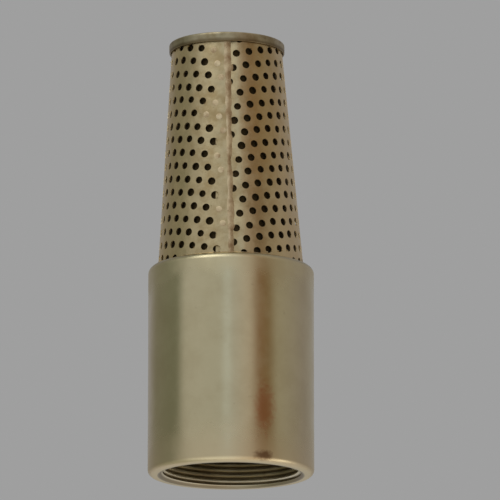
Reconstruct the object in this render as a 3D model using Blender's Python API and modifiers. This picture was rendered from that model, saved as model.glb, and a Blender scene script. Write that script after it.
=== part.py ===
"""Foot valve for the end of a pump's suction pipe: a turned brass body with a female pipe thread in
its mouth, a spring-loaded poppet that lifts off a seat inside, and a rolled, perforated strainer.

It stands on its mouth, strainer up. The origin is at the centre of the mouth's face and +Z runs
along the axis to the strainer. Units are metres. Water enters through the strainer, pushes the
poppet down towards the mouth, and leaves through the pipe thread.
"""

import math

import bmesh
import bpy
from mathutils import Matrix, Vector

MM = 0.001
PART_NAME = "foot_valve"
AXIS = Vector((0, 0, 1))

# Clearances between pieces
GAP = 0.3 * MM  # between two pieces that touch on the real valve
RUNNING_CLEARANCE = 0.1 * MM  # stem in bush, on the radius

# Body
BODY_RADIUS = 35.0 * MM
BODY_LENGTH = 89.0 * MM
MOUTH_EDGE_RADIUS = 2.4 * MM
INLET_EDGE_RADIUS = 2.8 * MM

# Pipe thread in the mouth, 2 inch parallel pipe thread with 11 turns to the inch
THREAD_MAJOR_RADIUS = 29.807 * MM
THREAD_DEPTH = 1.479 * MM
THREAD_PITCH = 2.309 * MM
THREAD_LENGTH = 22.0 * MM
THREAD_ROOT_FLAT = 0.385 * MM
THREAD_MINOR_RADIUS = THREAD_MAJOR_RADIUS - THREAD_DEPTH
THREAD_FLANK_SLOPE = math.tan(math.radians(27.5))
MOUTH_COUNTERSINK = 0.5 * MM  # how far the countersink passes the thread's major radius
RUNOUT_GROOVE_LENGTH = 3.5 * MM

# Outlet guide and the snap ring that holds it
GUIDE_THICKNESS = 5.6 * MM
GUIDE_ARM_THICKNESS = 3.0 * MM
GUIDE_ARM_WIDTH = 5.0 * MM
GUIDE_ARMS = 3
GUIDE_RIM_WIDTH = 3.1 * MM
HUB_WALL = 2.2 * MM
OUTLET_GUIDE_RADIUS = 27.3 * MM
OUTLET_HUB_DROP = 2.1 * MM  # how far the hub hangs below the guide's rim
SNAP_RING_THICKNESS = 1.5 * MM
SNAP_RING_WIDTH = 2.4 * MM
SNAP_RING_GRIP = 1.4 * MM  # how deep the ring sits in its groove
SNAP_RING_OPENING = math.radians(24)
SNAP_RING_LUG_RADIUS = 2.6 * MM
SNAP_RING_LUG_HOLE = 1.1 * MM

# Chamber and seat
SHOULDER_THICKNESS = 4.0 * MM
SHOULDER_RADIUS = 25.8 * MM
CHAMBER_RADIUS = 30.0 * MM
CHAMBER_CORNER = 3.0 * MM
SEAT_HEIGHT = 61.0 * MM  # of the seat's sealing face above the mouth
SEAT_BORE_RADIUS = 20.0 * MM
SEAT_LIP_WIDTH = 2.0 * MM
SEAT_LIP_HEIGHT = 1.0 * MM
THROAT_LENGTH = 4.0 * MM
THROAT_MOUTH_RADIUS = 25.5 * MM

# Poppet
POPPET_LIFT = 11.0 * MM
STEM_RADIUS = 4.0 * MM
STEM_TIP_RADIUS = 3.3 * MM
STEM_TIP_LENGTH = 19.5 * MM
STEM_TAIL = 1.0 * MM  # how far the closed stem stands out of the outlet guide's hub
STEM_CHAMFER = 0.6 * MM
COLLAR_RADIUS = 7.0 * MM
COLLAR_THICKNESS = 1.5 * MM
SEAL_THICKNESS = 3.5 * MM
SEAL_RADIUS = 22.6 * MM
DISC_RIM_THICKNESS = 1.0 * MM
DISC_RIM_HEIGHT = 1.8 * MM
DISC_WEB_THICKNESS = 2.9 * MM
DISC_BOSS_HEIGHT = 2.0 * MM
DISC_BOSS_RADIUS = 8.0 * MM
PLATE_THICKNESS = 2.5 * MM
PLATE_SIDE_CLEARANCE = 1.2 * MM  # between the washer plate and the seat's bore
LOCK_WASHER_RADIUS = 7.4 * MM
LOCK_WASHER_THICKNESS = 1.6 * MM
LOCK_WASHER_SPLIT = math.radians(14)
NUT_ACROSS_FLATS = 13.0 * MM
NUT_THICKNESS = 5.0 * MM
COTTER_RADIUS = 0.7 * MM
COTTER_REACH = 6.4 * MM
COTTER_EYE_RADIUS = 1.7 * MM

# Return spring, a cone of round wire
SPRING_WIRE_RADIUS = 0.8 * MM
SPRING_BASE_RADIUS = 15.0 * MM
SPRING_TOP_RADIUS = 9.8 * MM
SPRING_TURNS = 5.5
SPRING_CLOSED_TURNS = 0.75  # flat turns at each end

# Guide bushes
BUSH_WALL = 1.4 * MM
BUSH_FLANGE_WIDTH = 1.0 * MM
BUSH_FLANGE_THICKNESS = 0.9 * MM

# Inlet guide
INLET_SOCKET_DEPTH = 12.8 * MM
INLET_SOCKET_WALL = 3.3 * MM
INLET_GUIDE_THICKNESS = 3.5 * MM
INLET_HUB_RISE = 4.0 * MM

# Strainer, a cone rolled from flat perforated sheet
STRAINER_HEIGHT = 97.2 * MM  # above the body
STRAINER_LEAN = math.radians(1.05)  # the hand-rolled cone isn't quite upright
STRAINER_FOOT_CLEARANCE = 0.45 * MM  # between the sheet's lower end and the body's socket
STRAINER_TOP_RADIUS = 23.2 * MM  # outside, at the top of the rim
SHEET_THICKNESS = 0.6 * MM
LAP_ANGLE = math.radians(12)
LAP_RAMP_ANGLE = math.radians(12)
SEAM_ANGLE = math.radians(-90)
PLAIN_MARGIN = 4.0 * MM  # unperforated strip along the seam's outer edge
HOLE_RADIUS = 1.5 * MM
HOLE_PITCH = 5.8 * MM
HOLE_ROW_PITCH = 5.7 * MM
PATTERN_TURN = math.radians(-7)  # the punched rows aren't quite square to the middle of the sheet
PATTERN_SHIFT = 1.9 * MM
FIRST_ROW_COVER = 1.6 * MM  # how far above the rim's lower edge the first row of holes runs
HOLE_STRIDE = 2  # one hole in so many is cut, along each row and from row to row
STRAINER_RING_FLANGE = 2.0 * MM
STRAINER_RING_BORE_RADIUS = 26.5 * MM
STRAINER_RING_NECK = 5.7 * MM
END_DISC_THICKNESS = 0.8 * MM
RIM_WALL = 0.75 * MM
RIM_HEIGHT = 4.0 * MM
RIM_LIP_WIDTH = 3.9 * MM
RIM_EDGE_RADIUS = 0.6 * MM
END_HOLE_MARGIN = 1.6 * MM  # plain metal between the rim's lip and the nearest hole

# Gauze lining inside the strainer
LINER_THICKNESS = 0.3 * MM

# Facets
BODY_STEPS = 36
PIECE_STEPS = 36
SMALL_STEPS = 24
SHEET_STEP = math.radians(4)
ROUND_EDGE_POINTS = 3
HOLE_SIDES = 6

# Heights that follow from the sizes above, from the mouth's face upwards
RUNOUT_TOP = THREAD_LENGTH + RUNOUT_GROOVE_LENGTH
HUB_RADIUS = STEM_RADIUS + RUNNING_CLEARANCE + BUSH_WALL + GAP + HUB_WALL
SNAP_RING_BOTTOM = RUNOUT_TOP + 1.8 * MM
SNAP_RING_TOP = SNAP_RING_BOTTOM + SNAP_RING_THICKNESS
GUIDE_BOTTOM = SNAP_RING_TOP + GAP
GUIDE_TOP = GUIDE_BOTTOM + GUIDE_THICKNESS
SHOULDER_BOTTOM = GUIDE_TOP + GAP
OUTLET_HUB_BOTTOM = GUIDE_BOTTOM - OUTLET_HUB_DROP
SEAL_TOP = SEAT_HEIGHT - GAP
SEAL_BOTTOM = SEAL_TOP - SEAL_THICKNESS
DISC_WEB_TOP = SEAL_BOTTOM - GAP
DISC_WEB_BOTTOM = DISC_WEB_TOP - DISC_WEB_THICKNESS
DISC_BOSS_BOTTOM = DISC_WEB_BOTTOM - DISC_BOSS_HEIGHT
COLLAR_TOP = DISC_BOSS_BOTTOM - GAP
COLLAR_BOTTOM = COLLAR_TOP - COLLAR_THICKNESS
OUTLET_HUB_TOP = COLLAR_BOTTOM - POPPET_LIFT - GAP  # the hub stops the fully open poppet
PLATE_BOTTOM = SEAL_TOP + GAP
PLATE_TOP = PLATE_BOTTOM + PLATE_THICKNESS
LOCK_WASHER_BOTTOM = PLATE_TOP + GAP
LOCK_WASHER_TOP = LOCK_WASHER_BOTTOM + LOCK_WASHER_THICKNESS
NUT_BOTTOM = LOCK_WASHER_TOP + GAP
NUT_TOP = NUT_BOTTOM + NUT_THICKNESS
COTTER_HEIGHT = NUT_TOP + 2 * GAP + COTTER_RADIUS
SOCKET_FLOOR = BODY_LENGTH - INLET_SOCKET_DEPTH
SOCKET_RADIUS = BODY_RADIUS - INLET_SOCKET_WALL
STRAINER_FOOT_RADIUS = SOCKET_RADIUS - STRAINER_FOOT_CLEARANCE
INLET_GUIDE_BOTTOM = SOCKET_FLOOR + GAP
INLET_GUIDE_TOP = INLET_GUIDE_BOTTOM + INLET_GUIDE_THICKNESS
STRAINER_RING_BOTTOM = INLET_GUIDE_TOP + GAP
STRAINER_RING_SEAT = STRAINER_RING_BOTTOM + STRAINER_RING_FLANGE
TOTAL_HEIGHT = BODY_LENGTH + STRAINER_HEIGHT
RIM_BOTTOM = TOTAL_HEIGHT - RIM_HEIGHT
RIM_LIP_BOTTOM = TOTAL_HEIGHT - RIM_WALL
END_DISC_TOP = RIM_LIP_BOTTOM - GAP
END_DISC_BOTTOM = END_DISC_TOP - END_DISC_THICKNESS
SHEET_TOP = END_DISC_BOTTOM - GAP
SHEET_BOTTOM = STRAINER_RING_SEAT + GAP
SEAT_LIP_RADIUS = SEAT_BORE_RADIUS + SEAT_LIP_WIDTH
GROOVE_RADIUS = OUTLET_GUIDE_RADIUS + GAP + SNAP_RING_GRIP
SPRING_BOTTOM = GUIDE_BOTTOM + GUIDE_ARM_THICKNESS + GAP
SPRING_TOP = DISC_WEB_BOTTOM - GAP

# The cone that the strainer's sheet is rolled into
STRAINER_SLOPE = (STRAINER_FOOT_RADIUS - STRAINER_TOP_RADIUS) / (TOTAL_HEIGHT - SHEET_BOTTOM)
CONE_HALF_ANGLE = math.atan(STRAINER_SLOPE)
CONE_APEX_HEIGHT = SHEET_BOTTOM + STRAINER_FOOT_RADIUS / STRAINER_SLOPE


def strainer_radius(height):
    """Outside radius of the strainer's sheet at a height above the mouth."""
    return STRAINER_FOOT_RADIUS - (height - SHEET_BOTTOM) * STRAINER_SLOPE


RIM_INNER_RADIUS = strainer_radius(RIM_BOTTOM) + GAP
RIM_RADIUS = RIM_INNER_RADIUS + RIM_WALL


# Scene, materials and modelling helpers


def clear_scene():
    for obj in list(bpy.data.objects):
        bpy.data.objects.remove(obj)
    made = {}
    for name in (PART_NAME, "cutters"):
        made[name] = bpy.data.collections.new(name)
        bpy.context.scene.collection.children.link(made[name])
    return made[PART_NAME], made["cutters"]


PART, CUTTERS = clear_scene()


def metal(name, colour, roughness, metallic=1.0):
    made = bpy.data.materials.new(name)
    made.use_nodes = True
    shader = made.node_tree.nodes["Principled BSDF"]
    shader.inputs["Base Color"].default_value = (*colour, 1)
    shader.inputs["Roughness"].default_value = roughness
    shader.inputs["Metallic"].default_value = metallic
    return made


BRASS = metal("turned_brass", (0.62, 0.50, 0.27), 0.25)
SHEET_BRASS = metal("sheet_brass", (0.58, 0.46, 0.26), 0.38)
STEEL = metal("stainless_steel", (0.62, 0.61, 0.58), 0.28)
GAUZE = metal("wire_gauze", (0.16, 0.13, 0.08), 0.6)
RUBBER = metal("nitrile_rubber", (0.03, 0.03, 0.03), 0.7, 0.0)
NYLON = metal("nylon", (0.78, 0.74, 0.64), 0.45, 0.0)


def place(obj, material=None, collection=PART):
    """Puts an object in its collection, smooth shaded except at its sharp edges."""
    collection.objects.link(obj)
    if material:
        obj.data.materials.append(material)
    if collection == CUTTERS:
        obj.hide_render = True
        obj.display_type = "WIRE"
    return obj


def mesh_object(name, bm, material=None, collection=PART):
    mesh = bpy.data.meshes.new(name)
    bm.to_mesh(mesh)
    bm.free()
    mesh.shade_smooth()
    mesh.set_sharp_from_angle(angle=math.radians(35))
    return place(bpy.data.objects.new(name, mesh), material, collection)


def turned(name, profile, material=None, steps=PIECE_STEPS, closed=True, collection=PART):
    """A piece turned about +Z. The profile is (radius, height) pairs, down the outside first."""
    bm = bmesh.new()
    points = [bm.verts.new((radius, 0, height)) for radius, height in profile]
    pairs = list(zip(points, points[1:]))
    if closed:
        pairs.append((points[-1], points[0]))
    for pair in pairs:
        bm.edges.new(pair)
    piece = mesh_object(name, bm, material, collection)
    screw = piece.modifiers.new("turn", "SCREW")
    screw.axis = "Z"
    screw.steps = steps
    screw.render_steps = steps
    screw.use_merge_vertices = True
    screw.merge_threshold = 0.01 * MM
    return piece


def arc(centre, radius, start, end, points=ROUND_EDGE_POINTS):
    """(u, v) points along an arc between two angles in degrees, both ends included."""
    angles = [math.radians(start + (end - start) * i / (points - 1)) for i in range(points)]
    return [(centre[0] + radius * math.cos(a), centre[1] + radius * math.sin(a)) for a in angles]


def flat_plate(name, outlines, bottom, thickness, material):
    """A plate cut from a flat outline and its holes, as one mesh with welded caps."""
    curve = bpy.data.curves.new(name, "CURVE")
    curve.dimensions = "2D"
    curve.fill_mode = "BOTH"
    curve.extrude = thickness / 2
    for outline in outlines:
        spline = curve.splines.new("POLY")
        spline.points.add(len(outline) - 1)
        for point, (x, y) in zip(spline.points, outline):
            point.co = (x, y, 0, 1)
        spline.use_cyclic_u = True
    flat = place(bpy.data.objects.new(name, curve))
    flat.location = AXIS * (bottom + thickness / 2)
    return as_mesh(flat, material)


def wire(name, points, radius, material):
    """A round wire through the points, as one mesh with welded caps."""
    curve = bpy.data.curves.new(name, "CURVE")
    curve.dimensions = "3D"
    curve.bevel_depth = radius
    curve.bevel_resolution = 2
    curve.use_fill_caps = True
    spline = curve.splines.new("POLY")
    spline.points.add(len(points) - 1)
    for point, place_at in zip(spline.points, points):
        point.co = (*place_at, 1)
    return as_mesh(place(bpy.data.objects.new(name, curve)), material)


def as_mesh(curve_object, material):
    """The curve's evaluated mesh as an object of the same name and place. The curve is removed."""
    bpy.context.view_layer.update()
    name, matrix = curve_object.name, curve_object.matrix_world.copy()
    graph = bpy.context.evaluated_depsgraph_get()
    mesh = bpy.data.meshes.new_from_object(curve_object.evaluated_get(graph))
    bpy.data.objects.remove(curve_object)
    bm = bmesh.new()
    bm.from_mesh(mesh)
    bmesh.ops.remove_doubles(bm, verts=bm.verts, dist=0.001 * MM)
    bmesh.ops.recalc_face_normals(bm, faces=bm.faces)
    bpy.data.meshes.remove(mesh)
    made = mesh_object(name, bm, material)
    made.matrix_world = matrix
    return made


def boolean(piece, operation, other):
    """Cuts other from piece, or joins it to piece. Other becomes a helper that isn't shown."""
    modifier = piece.modifiers.new(operation.lower(), "BOOLEAN")
    modifier.operation = operation
    modifier.object = other
    other.hide_render = True
    other.display_type = "WIRE"
    if other.name not in CUTTERS.objects:
        PART.objects.unlink(other)
        CUTTERS.objects.link(other)


def circle(radius, sides, centre=(0, 0)):
    turn = 2 * math.pi / sides
    return [
        (centre[0] + radius * math.cos(i * turn), centre[1] + radius * math.sin(i * turn))
        for i in range(sides)
    ]


# Body


def body_profile():
    """The body's section: down the outside, across the mouth's face and up through the bores."""
    outlet_bore = OUTLET_GUIDE_RADIUS + GAP
    countersink = THREAD_MAJOR_RADIUS + MOUTH_COUNTERSINK
    chamber_top = SEAT_HEIGHT + SEAT_LIP_HEIGHT
    edge_centre = (BODY_RADIUS - INLET_EDGE_RADIUS, BODY_LENGTH - INLET_EDGE_RADIUS)
    mouth_edge_centre = (BODY_RADIUS - MOUTH_EDGE_RADIUS, MOUTH_EDGE_RADIUS)
    corner_centre = (CHAMBER_RADIUS - CHAMBER_CORNER, chamber_top - CHAMBER_CORNER)
    return [
        *arc(edge_centre, INLET_EDGE_RADIUS, 90, 0),
        *arc(mouth_edge_centre, MOUTH_EDGE_RADIUS, 0, -90),
        (countersink, 0),
        (THREAD_MINOR_RADIUS, countersink - THREAD_MINOR_RADIUS),
        (THREAD_MINOR_RADIUS, THREAD_LENGTH),
        (THREAD_MAJOR_RADIUS + GAP, THREAD_LENGTH),
        (THREAD_MAJOR_RADIUS + GAP, RUNOUT_TOP),
        (outlet_bore, RUNOUT_TOP),
        (outlet_bore, SNAP_RING_BOTTOM - GAP),
        (GROOVE_RADIUS, SNAP_RING_BOTTOM - GAP),
        (GROOVE_RADIUS, SNAP_RING_TOP + GAP),
        (outlet_bore, SNAP_RING_TOP + GAP),
        (outlet_bore, SHOULDER_BOTTOM),
        (SHOULDER_RADIUS, SHOULDER_BOTTOM),
        (SHOULDER_RADIUS, SHOULDER_BOTTOM + SHOULDER_THICKNESS),
        (CHAMBER_RADIUS, SHOULDER_BOTTOM + SHOULDER_THICKNESS),
        *arc(corner_centre, CHAMBER_CORNER, 0, 90),
        (SEAT_LIP_RADIUS + SEAT_LIP_HEIGHT, chamber_top),
        (SEAT_LIP_RADIUS, SEAT_HEIGHT),
        (SEAT_BORE_RADIUS, SEAT_HEIGHT),
        (SEAT_BORE_RADIUS, SEAT_HEIGHT + THROAT_LENGTH),
        (THROAT_MOUTH_RADIUS, SOCKET_FLOOR),
        (SOCKET_RADIUS, SOCKET_FLOOR),
        (SOCKET_RADIUS, BODY_LENGTH),
    ]


def thread_cutter():
    """A helical ridge that cuts the pipe thread. It starts below the mouth and ends in the groove."""
    crest_half = THREAD_ROOT_FLAT / 2
    inside = THREAD_MINOR_RADIUS - THREAD_DEPTH / 10
    base_half = crest_half + (THREAD_MAJOR_RADIUS - inside) * THREAD_FLANK_SLOPE
    section = [
        (inside, -base_half),
        (THREAD_MAJOR_RADIUS, -crest_half),
        (THREAD_MAJOR_RADIUS, crest_half),
        (inside, base_half),
    ]
    start = -1.5 * THREAD_PITCH
    end = THREAD_LENGTH + RUNOUT_GROOVE_LENGTH / 2
    steps = round((end - start) / THREAD_PITCH * BODY_STEPS)
    bm = bmesh.new()
    # The ridge's corners come between the bore's, so that no edge of one meets an edge of the other.
    profile = [Vector((radius, 0, start + height)) for radius, height in section]
    ring = None
    for step in range(steps + 1):
        turn = Matrix.Rotation(2 * math.pi * (step + 0.5) / BODY_STEPS, 4, "Z")
        rise = Vector((0, 0, THREAD_PITCH * step / BODY_STEPS))
        following = [bm.verts.new(turn @ point + rise) for point in profile]
        if ring:
            for i, vert in enumerate(ring):
                after = (i + 1) % len(ring)
                bm.faces.new((vert, ring[after], following[after], following[i]))
        else:
            bm.faces.new(following)
        ring = following
    bm.faces.new(ring)
    bmesh.ops.recalc_face_normals(bm, faces=bm.faces)
    return mesh_object("thread_cutter", bm, collection=CUTTERS)


def valve_body():
    body = turned("valve_body", body_profile(), BRASS, BODY_STEPS)
    boolean(body, "DIFFERENCE", thread_cutter())
    return body


# Guides, bushes and snap ring


def guide_windows(inner, outer):
    """The fan-shaped windows between a guide's arms, as outlines."""
    windows = []
    for arm in range(GUIDE_ARMS):
        outline = []
        for radius, way in ((outer, 1), (inner, -1)):
            clear = math.asin(GUIDE_ARM_WIDTH / 2 / radius)
            start, end = clear, 2 * math.pi / GUIDE_ARMS - clear
            points = arc((0, 0), radius, math.degrees(start), math.degrees(end), 9)
            outline += points[::way]
        turn = Matrix.Rotation(2 * math.pi * arm / GUIDE_ARMS, 2)
        windows.append([tuple(turn @ Vector(point)) for point in outline])
    return windows


def guide(name, radius, bottom, thickness, arm_thickness, hub_bottom, hub_top, bush_radius):
    """A spider: a rim, arms, and a hub that is bored for a bush."""
    bore = bush_radius + GAP
    windows = guide_windows(HUB_RADIUS - 1.0 * MM, radius - GUIDE_RIM_WIDTH)
    outlines = [circle(radius, PIECE_STEPS), *windows, circle(bore + 1.0 * MM, PIECE_STEPS)]
    spider = flat_plate(name, outlines, bottom, arm_thickness, BRASS)
    hub = turned(
        name + "_hub",
        [(HUB_RADIUS, hub_top), (HUB_RADIUS, hub_bottom), (bore, hub_bottom), (bore, hub_top)],
    )
    boolean(spider, "UNION", hub)
    if thickness > arm_thickness:
        rim_inner = radius - GUIDE_RIM_WIDTH
        inside = bottom + arm_thickness / 2
        top = bottom + thickness
        rim = turned(
            name + "_rim",
            [(radius, top), (radius, inside), (rim_inner, inside), (rim_inner, top)],
        )
        boolean(spider, "UNION", rim)
    return spider


def bush(name, stem_radius, bottom, top, flange_at_top):
    """A flanged nylon bush. Its flange rests on one end of the hub."""
    inner = stem_radius + RUNNING_CLEARANCE
    outer = inner + BUSH_WALL
    flange = outer + BUSH_FLANGE_WIDTH
    if flange_at_top:
        low = top + GAP
        profile = [
            (flange, low + BUSH_FLANGE_THICKNESS),
            (flange, low),
            (outer, low),
            (outer, bottom),
            (inner, bottom),
            (inner, low + BUSH_FLANGE_THICKNESS),
        ]
    else:
        high = bottom - GAP
        profile = [
            (outer, top),
            (outer, high),
            (flange, high),
            (flange, high - BUSH_FLANGE_THICKNESS),
            (inner, high - BUSH_FLANGE_THICKNESS),
            (inner, top),
        ]
    return turned(name, profile, NYLON, SMALL_STEPS)


def outlet_guide():
    bush_radius = STEM_RADIUS + RUNNING_CLEARANCE + BUSH_WALL
    guide("outlet_guide", OUTLET_GUIDE_RADIUS, GUIDE_BOTTOM, GUIDE_THICKNESS,
          GUIDE_ARM_THICKNESS, OUTLET_HUB_BOTTOM, OUTLET_HUB_TOP, bush_radius)
    bush("outlet_bush", STEM_RADIUS, OUTLET_HUB_BOTTOM, OUTLET_HUB_TOP, False)


def inlet_guide():
    hub_top = INLET_GUIDE_TOP + INLET_HUB_RISE
    bush_radius = STEM_TIP_RADIUS + RUNNING_CLEARANCE + BUSH_WALL
    guide("inlet_guide", SOCKET_RADIUS - GAP, INLET_GUIDE_BOTTOM, INLET_GUIDE_THICKNESS,
          INLET_GUIDE_THICKNESS, INLET_GUIDE_BOTTOM, hub_top, bush_radius)
    bush("inlet_bush", STEM_TIP_RADIUS, INLET_GUIDE_BOTTOM, hub_top, True)


def snap_ring():
    """An internal snap ring: an open ring with a drilled lug at each end."""
    outer = GROOVE_RADIUS - GAP
    inner = outer - SNAP_RING_WIDTH
    half = math.degrees(SNAP_RING_OPENING / 2)
    lug_radius = inner - SNAP_RING_LUG_RADIUS * 0.4
    lug_turn = math.degrees(SNAP_RING_LUG_RADIUS / lug_radius)
    outline = arc((0, 0), outer, half, 360 - half, PIECE_STEPS)
    lugs = []
    for angle in (360 - half - lug_turn, half + lug_turn):
        a = math.radians(angle)
        lugs.append((lug_radius * math.cos(a), lug_radius * math.sin(a)))
    last, first = (math.degrees(math.atan2(y, x)) for x, y in lugs)
    outline += arc(lugs[0], SNAP_RING_LUG_RADIUS, last + 90, last + 270, 9)
    outline += arc((0, 0), inner, 360 - half - 2 * lug_turn, half + 2 * lug_turn, PIECE_STEPS)
    outline += arc(lugs[1], SNAP_RING_LUG_RADIUS, first + 90, first + 270, 9)
    holes = [circle(SNAP_RING_LUG_HOLE, 12, lug) for lug in lugs]
    return flat_plate("snap_ring", [outline, *holes], SNAP_RING_BOTTOM, SNAP_RING_THICKNESS, STEEL)


# Poppet


def valve_stem():
    bottom = OUTLET_HUB_BOTTOM - STEM_TAIL
    shoulder = COTTER_HEIGHT + COTTER_RADIUS + 2 * GAP
    tip = shoulder + STEM_TIP_LENGTH
    profile = [
        (0, tip),
        (STEM_TIP_RADIUS - STEM_CHAMFER, tip),
        (STEM_TIP_RADIUS, tip - STEM_CHAMFER),
        (STEM_TIP_RADIUS, shoulder),
        (STEM_RADIUS, shoulder - (STEM_RADIUS - STEM_TIP_RADIUS)),
        (STEM_RADIUS, COLLAR_TOP),
        (COLLAR_RADIUS, COLLAR_TOP),
        (COLLAR_RADIUS, COLLAR_BOTTOM),
        (STEM_RADIUS, COLLAR_BOTTOM),
        (STEM_RADIUS, bottom + STEM_CHAMFER),
        (STEM_RADIUS - STEM_CHAMFER, bottom),
        (0, bottom),
    ]
    stem = turned("valve_stem", profile, BRASS, SMALL_STEPS, closed=False)
    bpy.ops.mesh.primitive_cylinder_add(
        vertices=12,
        radius=COTTER_RADIUS + GAP,
        depth=4 * STEM_RADIUS,
        location=AXIS * COTTER_HEIGHT,
        rotation=(0, math.pi / 2, 0),
    )
    drill = bpy.context.object
    drill.name = "cotter_hole_cutter"
    for collection in list(drill.users_collection):
        collection.objects.unlink(drill)
    place(drill, collection=CUTTERS)
    boolean(stem, "DIFFERENCE", drill)


def valve_disc():
    bore = STEM_RADIUS + GAP
    pocket = SEAL_RADIUS + GAP
    rim = pocket + DISC_RIM_THICKNESS
    profile = [
        (rim, DISC_WEB_TOP + DISC_RIM_HEIGHT),
        (rim, DISC_WEB_BOTTOM + DISC_RIM_THICKNESS),
        (rim - DISC_RIM_THICKNESS, DISC_WEB_BOTTOM),
        (DISC_BOSS_RADIUS, DISC_WEB_BOTTOM),
        (DISC_BOSS_RADIUS, DISC_BOSS_BOTTOM),
        (bore, DISC_BOSS_BOTTOM),
        (bore, DISC_WEB_TOP),
        (pocket, DISC_WEB_TOP),
        (pocket, DISC_WEB_TOP + DISC_RIM_HEIGHT),
    ]
    turned("valve_disc", profile, BRASS)


def washer(name, radius, bottom, thickness, material, steps=PIECE_STEPS):
    bore = STEM_RADIUS + GAP
    top = bottom + thickness
    turned(name, [(radius, top), (radius, bottom), (bore, bottom), (bore, top)], material, steps)


def lock_washer():
    """A split washer: a ring with a narrow slit."""
    half = math.degrees(LOCK_WASHER_SPLIT / 2)
    outline = arc((0, 0), LOCK_WASHER_RADIUS, half, 360 - half, SMALL_STEPS)
    outline += arc((0, 0), STEM_RADIUS + GAP, 360 - half, half, SMALL_STEPS)
    flat_plate("lock_washer", [outline], LOCK_WASHER_BOTTOM, LOCK_WASHER_THICKNESS, STEEL)


def stem_nut():
    hexagon = circle(NUT_ACROSS_FLATS / 2 / math.cos(math.pi / 6), 6)
    bore = circle(STEM_RADIUS + GAP, SMALL_STEPS)
    flat_plate("stem_nut", [hexagon, bore], NUT_BOTTOM, NUT_THICKNESS, BRASS)


def cotter_pin():
    """A split pin's closed form: a straight shank and an eye that doesn't quite close."""
    eye_x = -COTTER_REACH - COTTER_EYE_RADIUS
    eye = [
        (eye_x + x, y, COTTER_HEIGHT)
        for x, y in arc((0, 0), COTTER_EYE_RADIUS, 300, 0, 12)
    ]
    shank = [(COTTER_REACH * share, 0, COTTER_HEIGHT) for share in (-0.5, 0, 0.5, 1)]
    wire("cotter_pin", eye + shank, COTTER_RADIUS, STEEL)


def return_spring():
    """A cone of wire whose end turns lie flat on the guide's arms and on the disc."""
    low = SPRING_BOTTOM + SPRING_WIRE_RADIUS
    high = SPRING_TOP - SPRING_WIRE_RADIUS
    points_a_turn = 20
    count = round(SPRING_TURNS * points_a_turn)
    points = []
    for i in range(count + 1):
        turns = i / points_a_turn
        active = (turns - SPRING_CLOSED_TURNS) / (SPRING_TURNS - 2 * SPRING_CLOSED_TURNS)
        share = min(max(active, 0), 1)
        # The closed end turns still rise by about a wire, so that they don't run into the next turn.
        rise = 0.12 * i / count + 0.88 * share
        radius = SPRING_BASE_RADIUS + (SPRING_TOP_RADIUS - SPRING_BASE_RADIUS) * i / count
        angle = 2 * math.pi * turns
        points.append((radius * math.cos(angle), radius * math.sin(angle), low + (high - low) * rise))
    wire("return_spring", points, SPRING_WIRE_RADIUS, STEEL)


def poppet():
    valve_stem()
    valve_disc()
    washer("seal_washer", SEAL_RADIUS, SEAL_BOTTOM, SEAL_THICKNESS, RUBBER)
    plate_radius = SEAT_BORE_RADIUS - PLATE_SIDE_CLEARANCE
    washer("washer_plate", plate_radius, PLATE_BOTTOM, PLATE_THICKNESS, BRASS)
    lock_washer()
    stem_nut()
    cotter_pin()


# Strainer


def strainer_ring():
    """The ring inside the foot of the strainer, which holds the sheet and the inlet guide down."""
    flange_radius = SOCKET_RADIUS - GAP
    inset = 2 * (SHEET_THICKNESS + GAP) + GAP
    neck_top = STRAINER_RING_SEAT + STRAINER_RING_NECK
    profile = [
        (strainer_radius(neck_top) - inset, neck_top),
        (strainer_radius(STRAINER_RING_SEAT) - inset, STRAINER_RING_SEAT),
        (flange_radius, STRAINER_RING_SEAT),
        (flange_radius, STRAINER_RING_BOTTOM),
        (STRAINER_RING_BORE_RADIUS, STRAINER_RING_BOTTOM),
        (STRAINER_RING_BORE_RADIUS, neck_top),
    ]
    turned("strainer_ring", profile, BRASS)


def lean(piece):
    """Bakes a strainer piece and shifts it towards -X, in proportion to its height above the ring."""
    bpy.context.view_layer.update()
    evaluated = piece.evaluated_get(bpy.context.evaluated_depsgraph_get())
    mesh = bpy.data.meshes.new_from_object(evaluated)
    shift = Matrix.Identity(4)
    shift[0][2] = -math.tan(STRAINER_LEAN)
    shift[0][3] = SHEET_BOTTOM * math.tan(STRAINER_LEAN)
    mesh.transform(shift @ piece.matrix_world)
    name = piece.name
    bpy.data.objects.remove(piece)
    place(bpy.data.objects.new(name, mesh))


def sheet_offset(angle):
    """How far the rolled sheet's skin lies inside the cone, at an angle from its inner end."""
    under = SHEET_THICKNESS + GAP
    past_edge = (angle - LAP_ANGLE) / LAP_RAMP_ANGLE
    share = min(max(past_edge, 0), 1)
    return under * (1 - share * share * (3 - 2 * share))


def around_from_back(across, down):
    """How far round the cone a point of the flat sheet comes, from the line opposite the seam."""
    return math.atan2(across, down) / math.sin(CONE_HALF_ANGLE) - PATTERN_TURN


def on_cone(across, down, depth=0.0):
    """Where a point of the flat sheet, measured from the cone's apex, comes when it is rolled."""
    slant = math.hypot(across, down)
    angle = SEAM_ANGLE + math.pi + around_from_back(across, down)
    radius = slant * math.sin(CONE_HALF_ANGLE) - depth
    height = CONE_APEX_HEIGHT - slant * math.cos(CONE_HALF_ANGLE)
    return Vector((radius * math.cos(angle), radius * math.sin(angle), height))


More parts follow.
